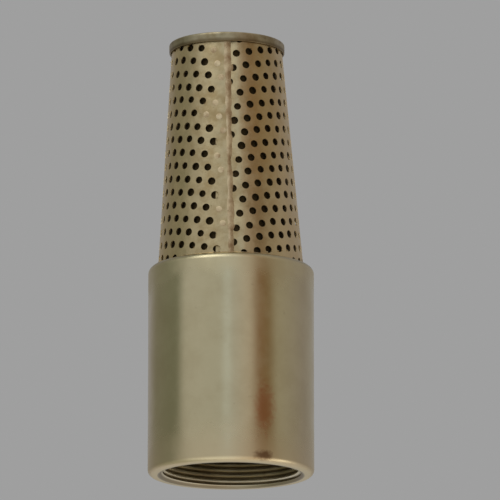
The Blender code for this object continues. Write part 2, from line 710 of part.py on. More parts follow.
def hole_centres():
    """Centres of the sheet's holes. The flat pattern is staggered."""
    lowest = SHEET_BOTTOM + HOLE_RADIUS + 1.2 * MM
    highest = RIM_BOTTOM - HOLE_RADIUS
    first_row = (CONE_APEX_HEIGHT - RIM_BOTTOM - FIRST_ROW_COVER) * math.cos(CONE_HALF_ANGLE)
    rows = round((highest - lowest) / HOLE_ROW_PITCH) + 6
    half_turn = (math.pi + abs(PATTERN_TURN)) * math.sin(CONE_HALF_ANGLE)
    centres = []
    for row in range(0, rows, HOLE_STRIDE):
        down = first_row + row * HOLE_ROW_PITCH
        stagger = 0.5 * HOLE_PITCH * HOLE_STRIDE * (row // HOLE_STRIDE % 2)
        reach = math.ceil(down * math.tan(half_turn) / HOLE_PITCH)
        for column in range(-reach, reach + 1, HOLE_STRIDE):
            across = column * HOLE_PITCH + stagger + PATTERN_SHIFT
            centre = on_cone(across, down)
            around = around_from_back(across, down)
            from_seam = (math.pi - abs(around)) * strainer_radius(centre.z)
            margin = PLAIN_MARGIN if around > 0 else HOLE_RADIUS + 1.0 * MM
            if lowest < centre.z < highest and from_seam > margin:
                centres.append(centre)
    return centres


def hole_cutter():
    """One short plug for each hole, square to the sheet."""
    bm = bmesh.new()
    for centre in hole_centres():
        outward = Vector((centre.x, centre.y, 0)).normalized()
        outward.z = STRAINER_SLOPE
        matrix = Matrix.Translation(centre) @ outward.to_track_quat("Z", "Y").to_matrix().to_4x4()
        bmesh.ops.create_cone(
            bm,
            cap_ends=True,
            segments=HOLE_SIDES,
            radius1=HOLE_RADIUS,
            radius2=HOLE_RADIUS,
            depth=6 * (SHEET_THICKNESS + GAP),
            matrix=matrix,
        )
    return mesh_object("hole_cutter", bm, collection=CUTTERS)


def strainer_screen():
    """The sheet rolled into a cone. Its outer end laps over its inner end at the seam."""
    steps = round((2 * math.pi + LAP_ANGLE) / SHEET_STEP)
    start = SEAM_ANGLE - LAP_ANGLE
    bm = bmesh.new()
    previous = None
    for step in range(steps + 1):
        inset = sheet_offset(step * SHEET_STEP)
        angle = start + step * SHEET_STEP
        pair = []
        for height in (SHEET_BOTTOM, SHEET_TOP):
            radius = strainer_radius(height) - inset
            pair.append(bm.verts.new((radius * math.cos(angle), radius * math.sin(angle), height)))
        if previous:
            bm.faces.new((previous[0], pair[0], pair[1], previous[1]))
        previous = pair
    screen = mesh_object("strainer_screen", bm, SHEET_BRASS)
    wall = screen.modifiers.new("sheet", "SOLIDIFY")
    wall.thickness = SHEET_THICKNESS
    wall.offset = -1
    wall.use_even_offset = True
    boolean(screen, "DIFFERENCE", hole_cutter())
    lean(screen)


def mesh_liner():
    """Fine gauze inside the sheet, as a thin closed skin. It stands on the strainer's ring."""
    bottom = STRAINER_RING_SEAT + STRAINER_RING_NECK + GAP
    top = SHEET_TOP
    inset = 2 * (SHEET_THICKNESS + GAP)
    profile = [
        (strainer_radius(top) - inset, top),
        (strainer_radius(bottom) - inset, bottom),
        (strainer_radius(bottom) - inset - LINER_THICKNESS, bottom),
        (strainer_radius(top) - inset - LINER_THICKNESS, top),
    ]
    lean(turned("mesh_liner", profile, GAUZE))


def end_disc():
    """The perforated disc that closes the strainer's top."""
    radius = RIM_INNER_RADIUS - GAP
    hole_reach = RIM_RADIUS - RIM_LIP_WIDTH - END_HOLE_MARGIN - HOLE_RADIUS
    reach = math.ceil(hole_reach / HOLE_ROW_PITCH)
    holes = []
    for row in range(-reach, reach + 1):
        for column in range(-reach, reach + 1):
            centre = ((column + 0.5 * (row % 2)) * HOLE_PITCH, row * HOLE_ROW_PITCH)
            if math.hypot(*centre) < hole_reach:
                holes.append(circle(HOLE_RADIUS, HOLE_SIDES, centre))
    outlines = [circle(radius, PIECE_STEPS), *holes]
    lean(flat_plate("strainer_end_disc", outlines, END_DISC_BOTTOM, END_DISC_THICKNESS, SHEET_BRASS))


def strainer_rim():
    """The band that is crimped over the end disc and the top of the sheet."""
    lip = RIM_RADIUS - RIM_LIP_WIDTH
    edge_centre = (RIM_RADIUS - RIM_EDGE_RADIUS, TOTAL_HEIGHT - RIM_EDGE_RADIUS)
    profile = [
        *arc(edge_centre, RIM_EDGE_RADIUS, 90, 0),
        (RIM_RADIUS, RIM_BOTTOM),
        (RIM_INNER_RADIUS, RIM_BOTTOM),
        (RIM_INNER_RADIUS, RIM_LIP_BOTTOM),
        (lip, RIM_LIP_BOTTOM),
        (lip, TOTAL_HEIGHT),
    ]
    lean(turned("strainer_rim", profile, SHEET_BRASS))


valve_body()
outlet_guide()
inlet_guide()
snap_ring()
poppet()
return_spring()
strainer_ring()
strainer_screen()
mesh_liner()
end_disc()
strainer_rim()
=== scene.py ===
# %% [markdown]
# # A foot valve in turned and rolled brass
#
# A foot valve hangs at the lower end of a pump's suction pipe. Its body is a brass cylinder with a
# pipe thread in its mouth. A sprung poppet inside lets water up and never down. A strainer rolled
# from perforated brass sheet keeps stones out. The engineering model of every piece, with its real
# sizes and the joint that lifts the poppet, is loaded first. This lesson gives the valve its looks.

# %% Load the engineering model
import math

import bmesh
import bpy
from mathutils import Matrix, Vector
from mathutils.noise import noise_vector, seed_set


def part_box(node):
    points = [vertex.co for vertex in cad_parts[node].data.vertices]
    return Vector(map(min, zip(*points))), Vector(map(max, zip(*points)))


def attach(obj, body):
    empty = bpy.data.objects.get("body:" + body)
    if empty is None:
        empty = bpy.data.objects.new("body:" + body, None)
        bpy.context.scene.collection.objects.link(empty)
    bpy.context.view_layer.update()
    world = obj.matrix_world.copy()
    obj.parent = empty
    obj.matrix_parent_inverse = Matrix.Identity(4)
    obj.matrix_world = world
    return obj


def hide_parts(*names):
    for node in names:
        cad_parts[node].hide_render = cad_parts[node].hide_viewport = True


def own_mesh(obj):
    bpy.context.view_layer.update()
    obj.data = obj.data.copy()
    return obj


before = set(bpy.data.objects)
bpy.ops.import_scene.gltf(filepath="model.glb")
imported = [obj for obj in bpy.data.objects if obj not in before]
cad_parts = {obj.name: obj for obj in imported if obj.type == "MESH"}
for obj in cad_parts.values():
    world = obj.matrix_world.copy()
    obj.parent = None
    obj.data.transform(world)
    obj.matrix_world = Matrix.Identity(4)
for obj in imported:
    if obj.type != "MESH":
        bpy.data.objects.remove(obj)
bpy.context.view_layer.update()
MM = 0.001
seed_set(5)  # the uneven holes and the solder come out the same every time
print("nodes:", sorted(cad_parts))

# %% [markdown]
# ## Heights and radii
#
# Every size is read from the boxes of the engineering pieces, so the pieces made here land exactly
# on them. A box gives a piece's lowest and highest corner in metres. Radii are read along Y, because
# the strainer was rolled by hand and leans a little along X.

# %% Read the sizes that the outside needs
def low(node):
    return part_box(node)[0].z


def high(node):
    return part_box(node)[1].z


def radius(node):
    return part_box(node)[1].y


def centre_x(node):
    return (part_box(node)[0].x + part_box(node)[1].x) / 2


BODY_TOP = high("valve_body")
BODY_RADIUS = radius("valve_body")
TOP = high("strainer_rim")
RIM_BOTTOM = low("strainer_rim")
RIM_RADIUS = radius("strainer_rim")
SHEET_BOTTOM = low("strainer_screen")
SHEET_TOP = high("strainer_screen")
LEAN = -centre_x("strainer_rim") / ((RIM_BOTTOM + TOP) / 2 - SHEET_BOTTOM)
GAP = 0.3 * MM
print(f"body {BODY_TOP / MM:.1f} mm high, {2 * BODY_RADIUS / MM:.1f} mm across; whole {TOP / MM:.1f} mm")
print(f"the strainer leans {math.degrees(math.atan(LEAN)):.2f} degrees")

# %% [markdown]
# ## The camera
#
# The valve is looked at from a little below its middle, along the seam side, so its mouth shows as
# a narrow ellipse. A long lens from far away keeps the cylinder's sides nearly parallel. The camera
# stands slightly to the right of the axis instead of being shifted, so other views stay simple.

# %% Place the camera
def place(name, data):
    """Puts a new object with this data in the scene."""
    thing = bpy.data.objects.new(name, data)
    bpy.context.scene.collection.objects.link(thing)
    return thing


ELEVATION = math.radians(-12.4)
DISTANCE = 2.8
AIM = Vector((8.0 * MM, 0, 97.0 * MM))
FRAME_HEIGHT = 211.5 * MM  # what the picture covers at the aim point

camera_data = bpy.data.cameras.new("camera")
camera_data.sensor_width = 36
camera_data.lens = 36 * DISTANCE / FRAME_HEIGHT
camera_data.clip_start = 0.05
camera_data.clip_end = 100
camera = place("camera", camera_data)
away = Vector((0, -math.cos(ELEVATION), math.sin(ELEVATION)))
camera.location = AIM + DISTANCE * away
camera.rotation_euler = (math.pi / 2 - ELEVATION, 0, 0)
bpy.context.scene.camera = camera
bpy.context.scene.view_settings.view_transform = "Standard"
print(f"lens {camera_data.lens:.0f} mm at {DISTANCE} m")

# %% [markdown]
# ## Small helpers for shader nodes
#
# A shader is a graph of nodes. These few helpers add a node, set its inputs and join it to others,
# so that each material below reads like a recipe.

# %% Helpers for node trees
def feed(tree, socket, value):
    """Gives an input a value, or joins it to the socket that feeds it."""
    if isinstance(value, bpy.types.NodeSocket):
        tree.links.new(value, socket)
    else:
        socket.default_value = value


def add(tree, kind, label="", **inputs):
    """Adds a node. Each keyword names an input."""
    node = tree.nodes.new(kind)
    node.label = label
    for name, value in inputs.items():
        feed(tree, node.inputs[name.replace("_", " ")], value)
    return node


def maths(tree, operation, a, b=0.0, clamp=False):
    node = tree.nodes.new("ShaderNodeMath")
    node.operation = operation
    node.use_clamp = clamp
    for socket, value in zip(node.inputs, (a, b)):
        feed(tree, socket, value)
    return node.outputs[0]


def plus(tree, a, b):
    return maths(tree, "ADD", a, b)


def times(tree, a, b):
    return maths(tree, "MULTIPLY", a, b)


def inverted(tree, value):
    """1 - value, which turns a mask inside out."""
    return maths(tree, "SUBTRACT", 1.0, value)


def ramp(tree, factor, stops):
    """A colour ramp through (position, colour) stops."""
    node = tree.nodes.new("ShaderNodeValToRGB")
    tree.links.new(factor, node.inputs[0])
    elements = node.color_ramp.elements
    while len(elements) > 1:
        elements.remove(elements[-1])
    for i, (position, colour) in enumerate(stops):
        element = elements[0] if i == 0 else elements.new(position)
        element.position = position
        element.color = (*colour, 1)
    return node.outputs["Color"]


def mix(tree, factor, first, second, blend="MIX"):
    """From the first colour to the second. A colour is a socket or three numbers."""
    node = tree.nodes.new("ShaderNodeMix")
    node.data_type = "RGBA"
    node.blend_type = blend
    for index, value in ((0, factor), (6, first), (7, second)):
        feed(tree, node.inputs[index], (*value, 1) if isinstance(value, tuple) else value)
    return node.outputs[2]


# %% [markdown]
# ## Light
#
# Polished metal shows what stands around it, so the surroundings are half of the material. The
# light comes from the world: upright panels of light and dark in a ring around the valve, given as
# a ramp over the compass angle. A bright panel left of the camera, a narrow window beside it, a warm
# dark gap on the right and a dark corner on the far left make the upright bands that a brass
# cylinder shows. The camera itself sees plain grey.

# %% The ring of panels
PANELS = [  # compass angle in degrees (0 towards the camera, plus to its right), radiance
    (-180, (0.34, 0.34, 0.34)),
    (-150, (0.30, 0.29, 0.31)),
    (-128, (0.20, 0.195, 0.17)),
    (-80, (0.17, 0.18, 0.145)),
    (-68, (0.44, 0.44, 0.44)),
    (-13, (0.41, 0.415, 0.41)),
    (-9, (0.50, 0.54, 0.59)),
    (-2, (0.50, 0.54, 0.59)),
    (2, (0.43, 0.435, 0.45)),
    (26, (0.46, 0.42, 0.40)),
    (40, (0.21, 0.125, 0.075)),
    (54, (0.20, 0.14, 0.08)),
    (68, (0.33, 0.31, 0.27)),
    (120, (0.27, 0.25, 0.26)),
    (180, (0.34, 0.34, 0.34)),
]
BACKDROP = (0.347, 0.347, 0.347)

world = bpy.data.worlds.new("studio")
bpy.context.scene.world = world
world.use_nodes = True
tree = world.node_tree
tree.nodes.clear()
direction = add(tree, "ShaderNodeTexCoord").outputs["Generated"]
parts = add(tree, "ShaderNodeSeparateXYZ", Vector=direction).outputs
compass = maths(tree, "ARCTAN2", parts[0], times(tree, parts[1], -1))
share = plus(tree, maths(tree, "DIVIDE", compass, 2 * math.pi), 0.5)
ring = ramp(tree, share, [((angle + 180) / 360, colour) for angle, colour in PANELS])
height = plus(tree, times(tree, parts[2], 0.5), 0.5)
tall = ramp(tree, height, [  # 0 straight down, 0.5 level, 1 straight up
    (0.0, (1.9, 1.9, 1.85)),
    (0.25, (1.5, 1.5, 1.45)),
    (0.44, (0.9, 0.88, 0.85)),
    (0.55, (1.0, 1.0, 1.0)),
    (0.72, (1.0, 1.0, 1.0)),
    (1.0, (1.7, 1.7, 1.7)),
])
panels = mix(tree, 1.0, ring, tall, "MULTIPLY")
lit = add(tree, "ShaderNodeBackground", "panels", Color=panels)
seen = add(tree, "ShaderNodeBackground", "backdrop", Color=(*BACKDROP, 1))
is_camera = add(tree, "ShaderNodeLightPath").outputs["Is Camera Ray"]
either = add(tree, "ShaderNodeMixShader", Fac=is_camera)
tree.links.new(lit.outputs[0], either.inputs[1])
tree.links.new(seen.outputs[0], either.inputs[2])
add(tree, "ShaderNodeOutputWorld", Surface=either.outputs[0])
print("panels:", len(PANELS))

# %% [markdown]
# Two soft lamps add what an even ring can't: a direction to the shadows, and small highlights on
# rounded edges. They are invisible to the camera.

# %% Soft lamps
LAMP_DISTANCE = 1.4
LAMP_SIZE = 0.9


def soft_lamp(name, azimuth, elevation, power, colour=(1, 1, 1)):
    """Azimuth is counted as in PANELS. Both angles are in degrees."""
    data = bpy.data.lights.new(name, "AREA")
    data.shape = "DISK"
    data.size = LAMP_SIZE
    data.energy = power
    data.color = colour
    lamp = place(name, data)
    a, e = math.radians(azimuth), math.radians(elevation)
    towards = Vector((math.sin(a) * math.cos(e), -math.cos(a) * math.cos(e), math.sin(e)))
    lamp.location = Vector((0, 0, TOP / 2)) + towards * LAMP_DISTANCE
    lamp.rotation_euler = towards.to_track_quat("Z", "Y").to_euler()
    lamp.visible_camera = False


soft_lamp("key_lamp", -38, 52, 3.0)
soft_lamp("fill_lamp", 80, -40, 1.5, (1.0, 0.96, 0.90))

# %% [markdown]
# ## Floor
#
# The valve stands on its mouth on a pale floor. The main camera is below the floor, so the floor is
# one-way: its underside lets the camera see through, and it casts no shadow and shows in no
# reflection, so light still reaches the mouth.

# %% Make the one-way floor
def mesh_from(name, bm):
    """A mesh made from the bmesh, which is freed."""
    mesh = bpy.data.meshes.new(name)
    bm.to_mesh(mesh)
    bm.free()
    return mesh


FLOOR_HEIGHT = -0.5 * MM
FLOOR_REACH = 30.0  # metres each way

bm = bmesh.new()
bmesh.ops.create_grid(bm, x_segments=1, y_segments=1, size=FLOOR_REACH)
bmesh.ops.translate(bm, verts=bm.verts, vec=(0, 0, FLOOR_HEIGHT))
floor = place("floor", mesh_from("floor", bm))
for flag in ("visible_diffuse", "visible_glossy", "visible_transmission", "visible_shadow"):
    setattr(floor, flag, False)

paint = bpy.data.materials.new("floor_paint")
paint.use_nodes = True
tree = paint.node_tree
tree.nodes.clear()
matt = add(tree, "ShaderNodeBsdfDiffuse", Color=(0.80, 0.80, 0.79, 1))
clear = add(tree, "ShaderNodeBsdfTransparent")
side = add(tree, "ShaderNodeMixShader", Fac=add(tree, "ShaderNodeNewGeometry").outputs["Backfacing"])
tree.links.new(matt.outputs[0], side.inputs[1])
tree.links.new(clear.outputs[0], side.inputs[2])
add(tree, "ShaderNodeOutputMaterial", Surface=side.outputs[0])
floor.data.materials.append(paint)
print(f"floor at {FLOOR_HEIGHT / MM} mm")

# %% [markdown]
# ## Finishes shared by several materials
#
# Three effects come back in more than one metal, so each is a node group with named inputs:
# *tarnish* drifts between two colours in soft clouds and small flecks, *turning_marks* are the fine
# rings that a lathe leaves, and *handling* is the faint mottling of roughness that fingers and
# storage leave. All read Object coordinates in metres, so the pattern has a real size.

# %% A helper that starts a node group
def start_group(name, inputs, outputs):
    """inputs and outputs are (name, kind, default) and (name, kind)."""
    group = bpy.data.node_groups.new(name, "ShaderNodeTree")
    for label, kind, value in inputs:
        socket = group.interface.new_socket(label, in_out="INPUT", socket_type=kind)
        socket.default_value = value
    for label, kind in outputs:
        group.interface.new_socket(label, in_out="OUTPUT", socket_type=kind)
    return group, group.nodes.new("NodeGroupInput").outputs, group.nodes.new("NodeGroupOutput").inputs


COLOUR, NUMBER = "NodeSocketColor", "NodeSocketFloat"


def noise(tree, vector, scale, detail=3.0, roughness=0.5):
    return add(tree, "ShaderNodeTexNoise", Vector=vector, Scale=scale, Detail=detail,
               Roughness=roughness).outputs["Fac"]


def between(tree, value, start, end):
    """0 below start, 1 above end."""
    node = add(tree, "ShaderNodeMapRange", Value=value, From_Min=start, From_Max=end)
    node.interpolation_type = "SMOOTHSTEP"
    return node.outputs["Result"]


# %% Tarnish
TARNISH, given, result = start_group(
    "tarnish",
    [
        ("Clean", COLOUR, (0.75, 0.675, 0.43, 1)),
        ("Dull", COLOUR, (0.55, 0.46, 0.27, 1)),
        ("Fleck", COLOUR, (0.20, 0.15, 0.08, 1)),
        ("Cloud Scale", NUMBER, 60.0),
        ("Cloud Amount", NUMBER, 0.5),
        ("Fleck Amount", NUMBER, 0.5),
    ],
    [("Color", COLOUR), ("Dullness", NUMBER)],
)
place_at = add(TARNISH, "ShaderNodeTexCoord").outputs["Object"]
cloud = between(TARNISH, noise(TARNISH, place_at, given["Cloud Scale"], 5.0, 0.6), 0.36, 0.70)
cloudy = maths(TARNISH, "MULTIPLY", cloud, given["Cloud Amount"], clamp=True)
flecks = between(TARNISH, noise(TARNISH, place_at, 420.0, 4.0, 0.7), 0.66, 0.74)
flecked = maths(TARNISH, "MULTIPLY", flecks, given["Fleck Amount"], clamp=True)
clouds = mix(TARNISH, cloudy, given["Clean"], given["Dull"])
TARNISH.links.new(mix(TARNISH, flecked, clouds, given["Fleck"]), result["Color"])
TARNISH.links.new(maths(TARNISH, "MAXIMUM", cloudy, flecked), result["Dullness"])

# %% Turning marks
MARKS, given, result = start_group(
    "turning_marks",
    [("Ring Spacing", NUMBER, 0.0004), ("Waviness", NUMBER, 0.35)],
    [("Height", NUMBER)],
)
place_at = add(MARKS, "ShaderNodeTexCoord").outputs["Object"]
xyz = add(MARKS, "ShaderNodeSeparateXYZ", Vector=place_at).outputs
rings = maths(MARKS, "DIVIDE", xyz[2], given["Ring Spacing"])
around = add(MARKS, "ShaderNodeCombineXYZ", X=times(MARKS, xyz[0], 14.0), Y=times(MARKS, xyz[1], 14.0),
             Z=rings).outputs[0]
fine = noise(MARKS, around, 1.0, 2.0, 0.6)
coarse = noise(MARKS, around, 0.13, 2.0, 0.5)
both = plus(MARKS, fine, times(MARKS, coarse, given["Waviness"]))
MARKS.links.new(both, result["Height"])

# %% Handling marks
HANDLING, given, result = start_group(
    "handling",
    [("Smooth", NUMBER, 0.22), ("Rough", NUMBER, 0.36), ("Dullness", NUMBER, 0.0)],
    [("Roughness", NUMBER)],
)
place_at = add(HANDLING, "ShaderNodeTexCoord").outputs["Object"]
smears = between(HANDLING, noise(HANDLING, place_at, 130.0, 6.0, 0.65), 0.35, 0.72)
spread = maths(HANDLING, "SUBTRACT", given["Rough"], given["Smooth"])
level = maths(HANDLING, "MAXIMUM", smears, given["Dullness"])
rough = plus(HANDLING, given["Smooth"], times(HANDLING, level, spread))
HANDLING.links.new(rough, result["Roughness"])
print("groups:", TARNISH.name, MARKS.name, HANDLING.name)

# %% [markdown]
# ## Metals
#
# A metal is the Principled shader with Metallic at 1. Its base colour is the tint of its reflection.
# Brass for pipe fittings is pale, between straw and khaki. The body is turned and satin; the sheet
# is rolled, so it has no rings but a slight waviness, and it is duller.

# %% A helper that makes a metal
def use(tree, group, **inputs):
    node = tree.nodes.new("ShaderNodeGroup")
    node.node_tree = group
    for name, value in inputs.items():
        feed(tree, node.inputs[name.replace("_", " ")], value)
    return node.outputs


def metal(name, clean, dull, fleck, smooth, rough, clouds=0.5, flecks=0.4, cloud_scale=60.0,
          rings=None, ring_height=0.004, waves=None, wave_height=0.05):
    """Colours are linear. ring_height and wave_height are bump distances in millimetres."""
    material = bpy.data.materials.new(name)
    material.use_nodes = True
    tree = material.node_tree
    shader = tree.nodes["Principled BSDF"]
    shader.inputs["Metallic"].default_value = 1.0
    stained = use(tree, TARNISH, Clean=(*clean, 1), Dull=(*dull, 1), Fleck=(*fleck, 1),
                  Cloud_Scale=cloud_scale, Cloud_Amount=clouds, Fleck_Amount=flecks)
    tree.links.new(stained["Color"], shader.inputs["Base Color"])
    handled = use(tree, HANDLING, Smooth=smooth, Rough=rough, Dullness=stained["Dullness"])
    tree.links.new(handled["Roughness"], shader.inputs["Roughness"])
    normal = None
    if rings:
        marks = use(tree, MARKS, Ring_Spacing=rings * MM)
        bump = add(tree, "ShaderNodeBump", Distance=ring_height * MM, Height=marks["Height"])
        normal = bump.outputs["Normal"]
    if waves:
        place_at = add(tree, "ShaderNodeTexCoord").outputs["Object"]
        bump = add(tree, "ShaderNodeBump", Distance=wave_height * MM,
                   Height=noise(tree, place_at, 1000 / waves, 2.0, 0.5))
        if normal:
            tree.links.new(normal, bump.inputs["Normal"])
        normal = bump.outputs["Normal"]
    if normal:
        tree.links.new(normal, shader.inputs["Normal"])
    return material


TURNED_BRASS = metal("turned_brass", (0.78, 0.66, 0.38), (0.60, 0.49, 0.27), (0.28, 0.21, 0.12),
                     0.20, 0.34, rings=0.5, ring_height=0.004)
SEAM_SOLDER = metal("seam_solder", (0.76, 0.64, 0.42), (0.43, 0.30, 0.17), (0.18, 0.12, 0.06),
                    0.48, 0.66, clouds=0.95, flecks=0.8, cloud_scale=190.0, waves=1.2, wave_height=0.12)
STEEL = metal("stainless_steel", (0.60, 0.59, 0.56), (0.46, 0.45, 0.42), (0.22, 0.20, 0.17),
              0.18, 0.32, clouds=0.4, flecks=0.3, cloud_scale=200.0, waves=1.0, wave_height=0.01)

# %% [markdown]
# The brass has a history. The sheet took heat from the soldering iron, so it is dull beside the
# seam, browner to the right of it and cleaner at the sides, and a painted shadow darkens the rim's
# lower edge. On the body, handling left the mouth's end warmer and duller, two small brown stains sit
# low on the outside, the upper edge is rougher, and painted shade darkens its rounding to tone down
# the highlight there. The bore is as the cutter left it, paler and rougher than the outside, with
# painted shade and old oil in the thread's roots, and painted shade further in, where less light
# reaches. Each is a mask on Object coordinates that moves the colour or the roughness.

# %% Stains and coats
def stain(tree, place_at, centre, half_size):
    """1 in the middle of an uneven oval spot and 0 outside. Sizes are in millimetres."""
    spot = add(tree, "ShaderNodeMapping", "stain", Vector=place_at)
    spot.vector_type = "TEXTURE"
    spot.inputs["Location"].default_value = Vector(centre) * MM
    spot.inputs["Scale"].default_value = Vector(half_size) * MM
    length = tree.nodes.new("ShaderNodeVectorMath")
    length.operation = "LENGTH"
    tree.links.new(spot.outputs[0], length.inputs[0])
    ragged = plus(tree, length.outputs["Value"], noise(tree, place_at, 500.0, 3.0, 0.6))
    return inverted(tree, between(tree, ragged, 0.75, 1.6))


def opened(material):
    """A metal's nodes and shader, its Object coordinates, and these split in three."""
    tree = material.node_tree
    place_at = add(tree, "ShaderNodeTexCoord").outputs["Object"]
    xyz = add(tree, "ShaderNodeSeparateXYZ", Vector=place_at).outputs
    return tree, tree.nodes["Principled BSDF"], place_at, xyz


def coat(tree, shader, *layers):
    """Lays colours over the base colour. A layer is a mask, its strength and its colour."""
    colour = shader.inputs["Base Color"].links[0].from_socket
    for mask, strength, tint in layers:
        colour = mix(tree, times(tree, mask, strength), colour, tint)
    tree.links.new(colour, shader.inputs["Base Color"])


# %% The sheet's brass and the rim's
def sheet_brass():
    material = metal("sheet_brass", (0.66, 0.55, 0.33), (0.43, 0.32, 0.16), (0.20, 0.13, 0.06),
                     0.30, 0.46, clouds=0.85, flecks=0.65, cloud_scale=150.0, waves=5.0, wave_height=0.16)
    tree, shader, place_at, xyz = opened(material)
    bare = between(tree, maths(tree, "ABSOLUTE", xyz[0]), 12 * MM, 23 * MM)
    heated = stain(tree, place_at, (14, -21, 152), (11, 16, 50))
    coat(tree, shader, (bare, 0.85, (0.82, 0.66, 0.38)), (heated, 0.6, (0.60, 0.41, 0.17)))
    return material


def rim_brass():
    material = metal("rim_brass", (0.50, 0.44, 0.29), (0.27, 0.21, 0.11), (0.13, 0.09, 0.05),
                     0.34, 0.5, clouds=0.8, flecks=0.7, cloud_scale=160.0, waves=4.0, wave_height=0.14)
    tree, shader, place_at, xyz = opened(material)
    up = plus(tree, xyz[2], times(tree, noise(tree, place_at, 220.0, 3.0, 0.6), 0.8 * MM))
    # Painted shadow: a ragged dark band, 1 to 2 mm high, along the rim's lower edge stands for the shade
    # under the band.
    painted_rim_shadow = inverted(tree, between(tree, up, RIM_BOTTOM + 0.8 * MM, RIM_BOTTOM + 2.2 * MM))
    coat(tree, shader, (painted_rim_shadow, 0.75, (0.17, 0.12, 0.06)))
    return material


SHEET_BRASS = sheet_brass()
RIM_BRASS = rim_brass()


# %% The body's brass
def body_brass():
    material = metal("body_brass", (0.76, 0.68, 0.44), (0.62, 0.53, 0.32), (0.30, 0.23, 0.13),
                     0.17, 0.27, clouds=0.45, flecks=0.35, rings=0.45, ring_height=0.003)
    tree, shader, place_at, xyz = opened(material)
    square = plus(tree, times(tree, xyz[0], xyz[0]), times(tree, xyz[1], xyz[1]))
    from_axis = maths(tree, "SQRT", square)
    bore = inverted(tree, between(tree, from_axis, 30.6 * MM, 31.2 * MM))
    # Painted shade and old oil darken the thread's roots, the recesses of the bore.
    root_shade_and_oil = times(tree, bore, between(tree, from_axis, 28.8 * MM, 29.6 * MM))
    # Painted shade: the bore is darkened further in, where less light reaches.
    painted_depth_shade = times(tree, bore, between(tree, xyz[2], 7.5 * MM, 13.5 * MM))
    uneven_height = plus(tree, xyz[2], times(tree, noise(tree, place_at, 45.0, 4.0, 0.6), 20 * MM))
    worn = inverted(tree, between(tree, uneven_height, 8 * MM, 34 * MM))
    # Painted shade: the body's rounded upper edge is darkened to tone down the highlight there.
    painted_edge_shade = between(tree, xyz[2], BODY_TOP - 2.4 * MM, BODY_TOP - 0.8 * MM)
    brown = stain(tree, place_at, (14.3, -32, 23.0), (5.4, 6, 13))
    dark = stain(tree, place_at, (13.6, -32, 2.8), (5, 5, 2.6))
    coat(
        tree, shader,
        (worn, 0.55, (0.80, 0.65, 0.42)),
        (painted_edge_shade, 0.8, (0.36, 0.32, 0.20)),
        (bore, 1.0, (0.92, 0.85, 0.64)),
        (root_shade_and_oil, 0.8, (0.20, 0.15, 0.08)),
        (painted_depth_shade, 0.8, (0.16, 0.13, 0.08)),
        (brown, 0.6, (0.62, 0.27, 0.13)),
        (dark, 0.8, (0.22, 0.12, 0.06)),
    )

    rough = shader.inputs["Roughness"].links[0].from_socket
    rough = plus(tree, rough, times(tree, worn, 0.16))
    hazed = between(tree, uneven_height, 86 * MM, 94 * MM)
    rough = plus(tree, rough, times(tree, hazed, 0.14))
    rough = maths(tree, "MAXIMUM", rough, times(tree, bore, 0.28))
    tree.links.new(rough, shader.inputs["Roughness"])
    return material


BODY_BRASS = body_brass()

# %% [markdown]
# Rubber and nylon aren't metals: their base colour is their own, and the highlight on top is white.

# %% Rubber and nylon
def plastic(name, clean, dull, smooth, rough, waves, wave_height):
    material = metal(name, clean, dull, dull, smooth, rough, clouds=0.6, flecks=0.3,
                     cloud_scale=250.0, waves=waves, wave_height=wave_height)
    material.node_tree.nodes["Principled BSDF"].inputs["Metallic"].default_value = 0.0
    return material


RUBBER = plastic("nitrile_rubber", (0.022, 0.022, 0.023), (0.045, 0.044, 0.042), 0.45, 0.65, 0.6, 0.02)
NYLON = plastic("nylon", (0.74, 0.70, 0.58), (0.62, 0.56, 0.44), 0.35, 0.5, 0.8, 0.01)

# %% [markdown]
# The gauze is woven wire at half a millimetre. The weave is two sets of ridges that cross: one set
# counts the height, the other counts the angle about the axis.

# %% Gauze
def gauze(name, wire, gap, spacing, mean_radius):
    material = bpy.data.materials.new(name)
    material.use_nodes = True
    tree = material.node_tree
    shader = tree.nodes["Principled BSDF"]
    shader.inputs["Metallic"].default_value = 0.8
    shader.inputs["Roughness"].default_value = 0.6
    place_at = add(tree, "ShaderNodeTexCoord").outputs["Object"]
    xyz = add(tree, "ShaderNodeSeparateXYZ", Vector=place_at).outputs
    angle = maths(tree, "ARCTAN2", xyz[1], xyz[0])
    turns = 2 * math.pi / spacing
    weft = maths(tree, "ABSOLUTE", maths(tree, "SINE", times(tree, xyz[2], turns / 2)))
    count = round(2 * math.pi * mean_radius / spacing)
    warp = maths(tree, "ABSOLUTE", maths(tree, "SINE", times(tree, angle, count / 2)))
    weave = maths(tree, "MAXIMUM", weft, warp)
    tree.links.new(mix(tree, between(tree, weave, 0.35, 0.85), gap, wire), shader.inputs["Base Color"])
    bump = add(tree, "ShaderNodeBump", Distance=0.1 * MM, Height=weave)
    tree.links.new(bump.outputs["Normal"], shader.inputs["Normal"])
    return material


# The gap colour is painted shade. It is near-black where the weave's openings would show the dark inside
# of the strainer.
GAUZE = gauze("dark_gauze", (0.085, 0.06, 0.024), (0.008, 0.006, 0.004), 0.5 * MM, 25 * MM)

# %% [markdown]
# ## Turned pieces
#
# A lathe makes a piece by turning its section about an axis, and so does *spin*. The section is
# drawn as a closed face, its corners are rounded with *bevel* on the vertices, the face is dropped
# and the outline is spun a full turn.

# %% Finish a piece
def finish_piece(name, bm, material, body, *nodes, sharp=40):
    """Makes the mesh an object that rides on a body and stands for engineering nodes, or is solder."""
    mesh = mesh_from(name, bm)
    mesh.shade_smooth()
    mesh.set_sharp_from_angle(angle=math.radians(sharp))
    mesh.materials.append(material)
    piece = place(name, mesh)
    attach(piece, body)
    if nodes:
        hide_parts(*nodes)
    print(f"{name}: {len(mesh.polygons)} faces")
    return piece


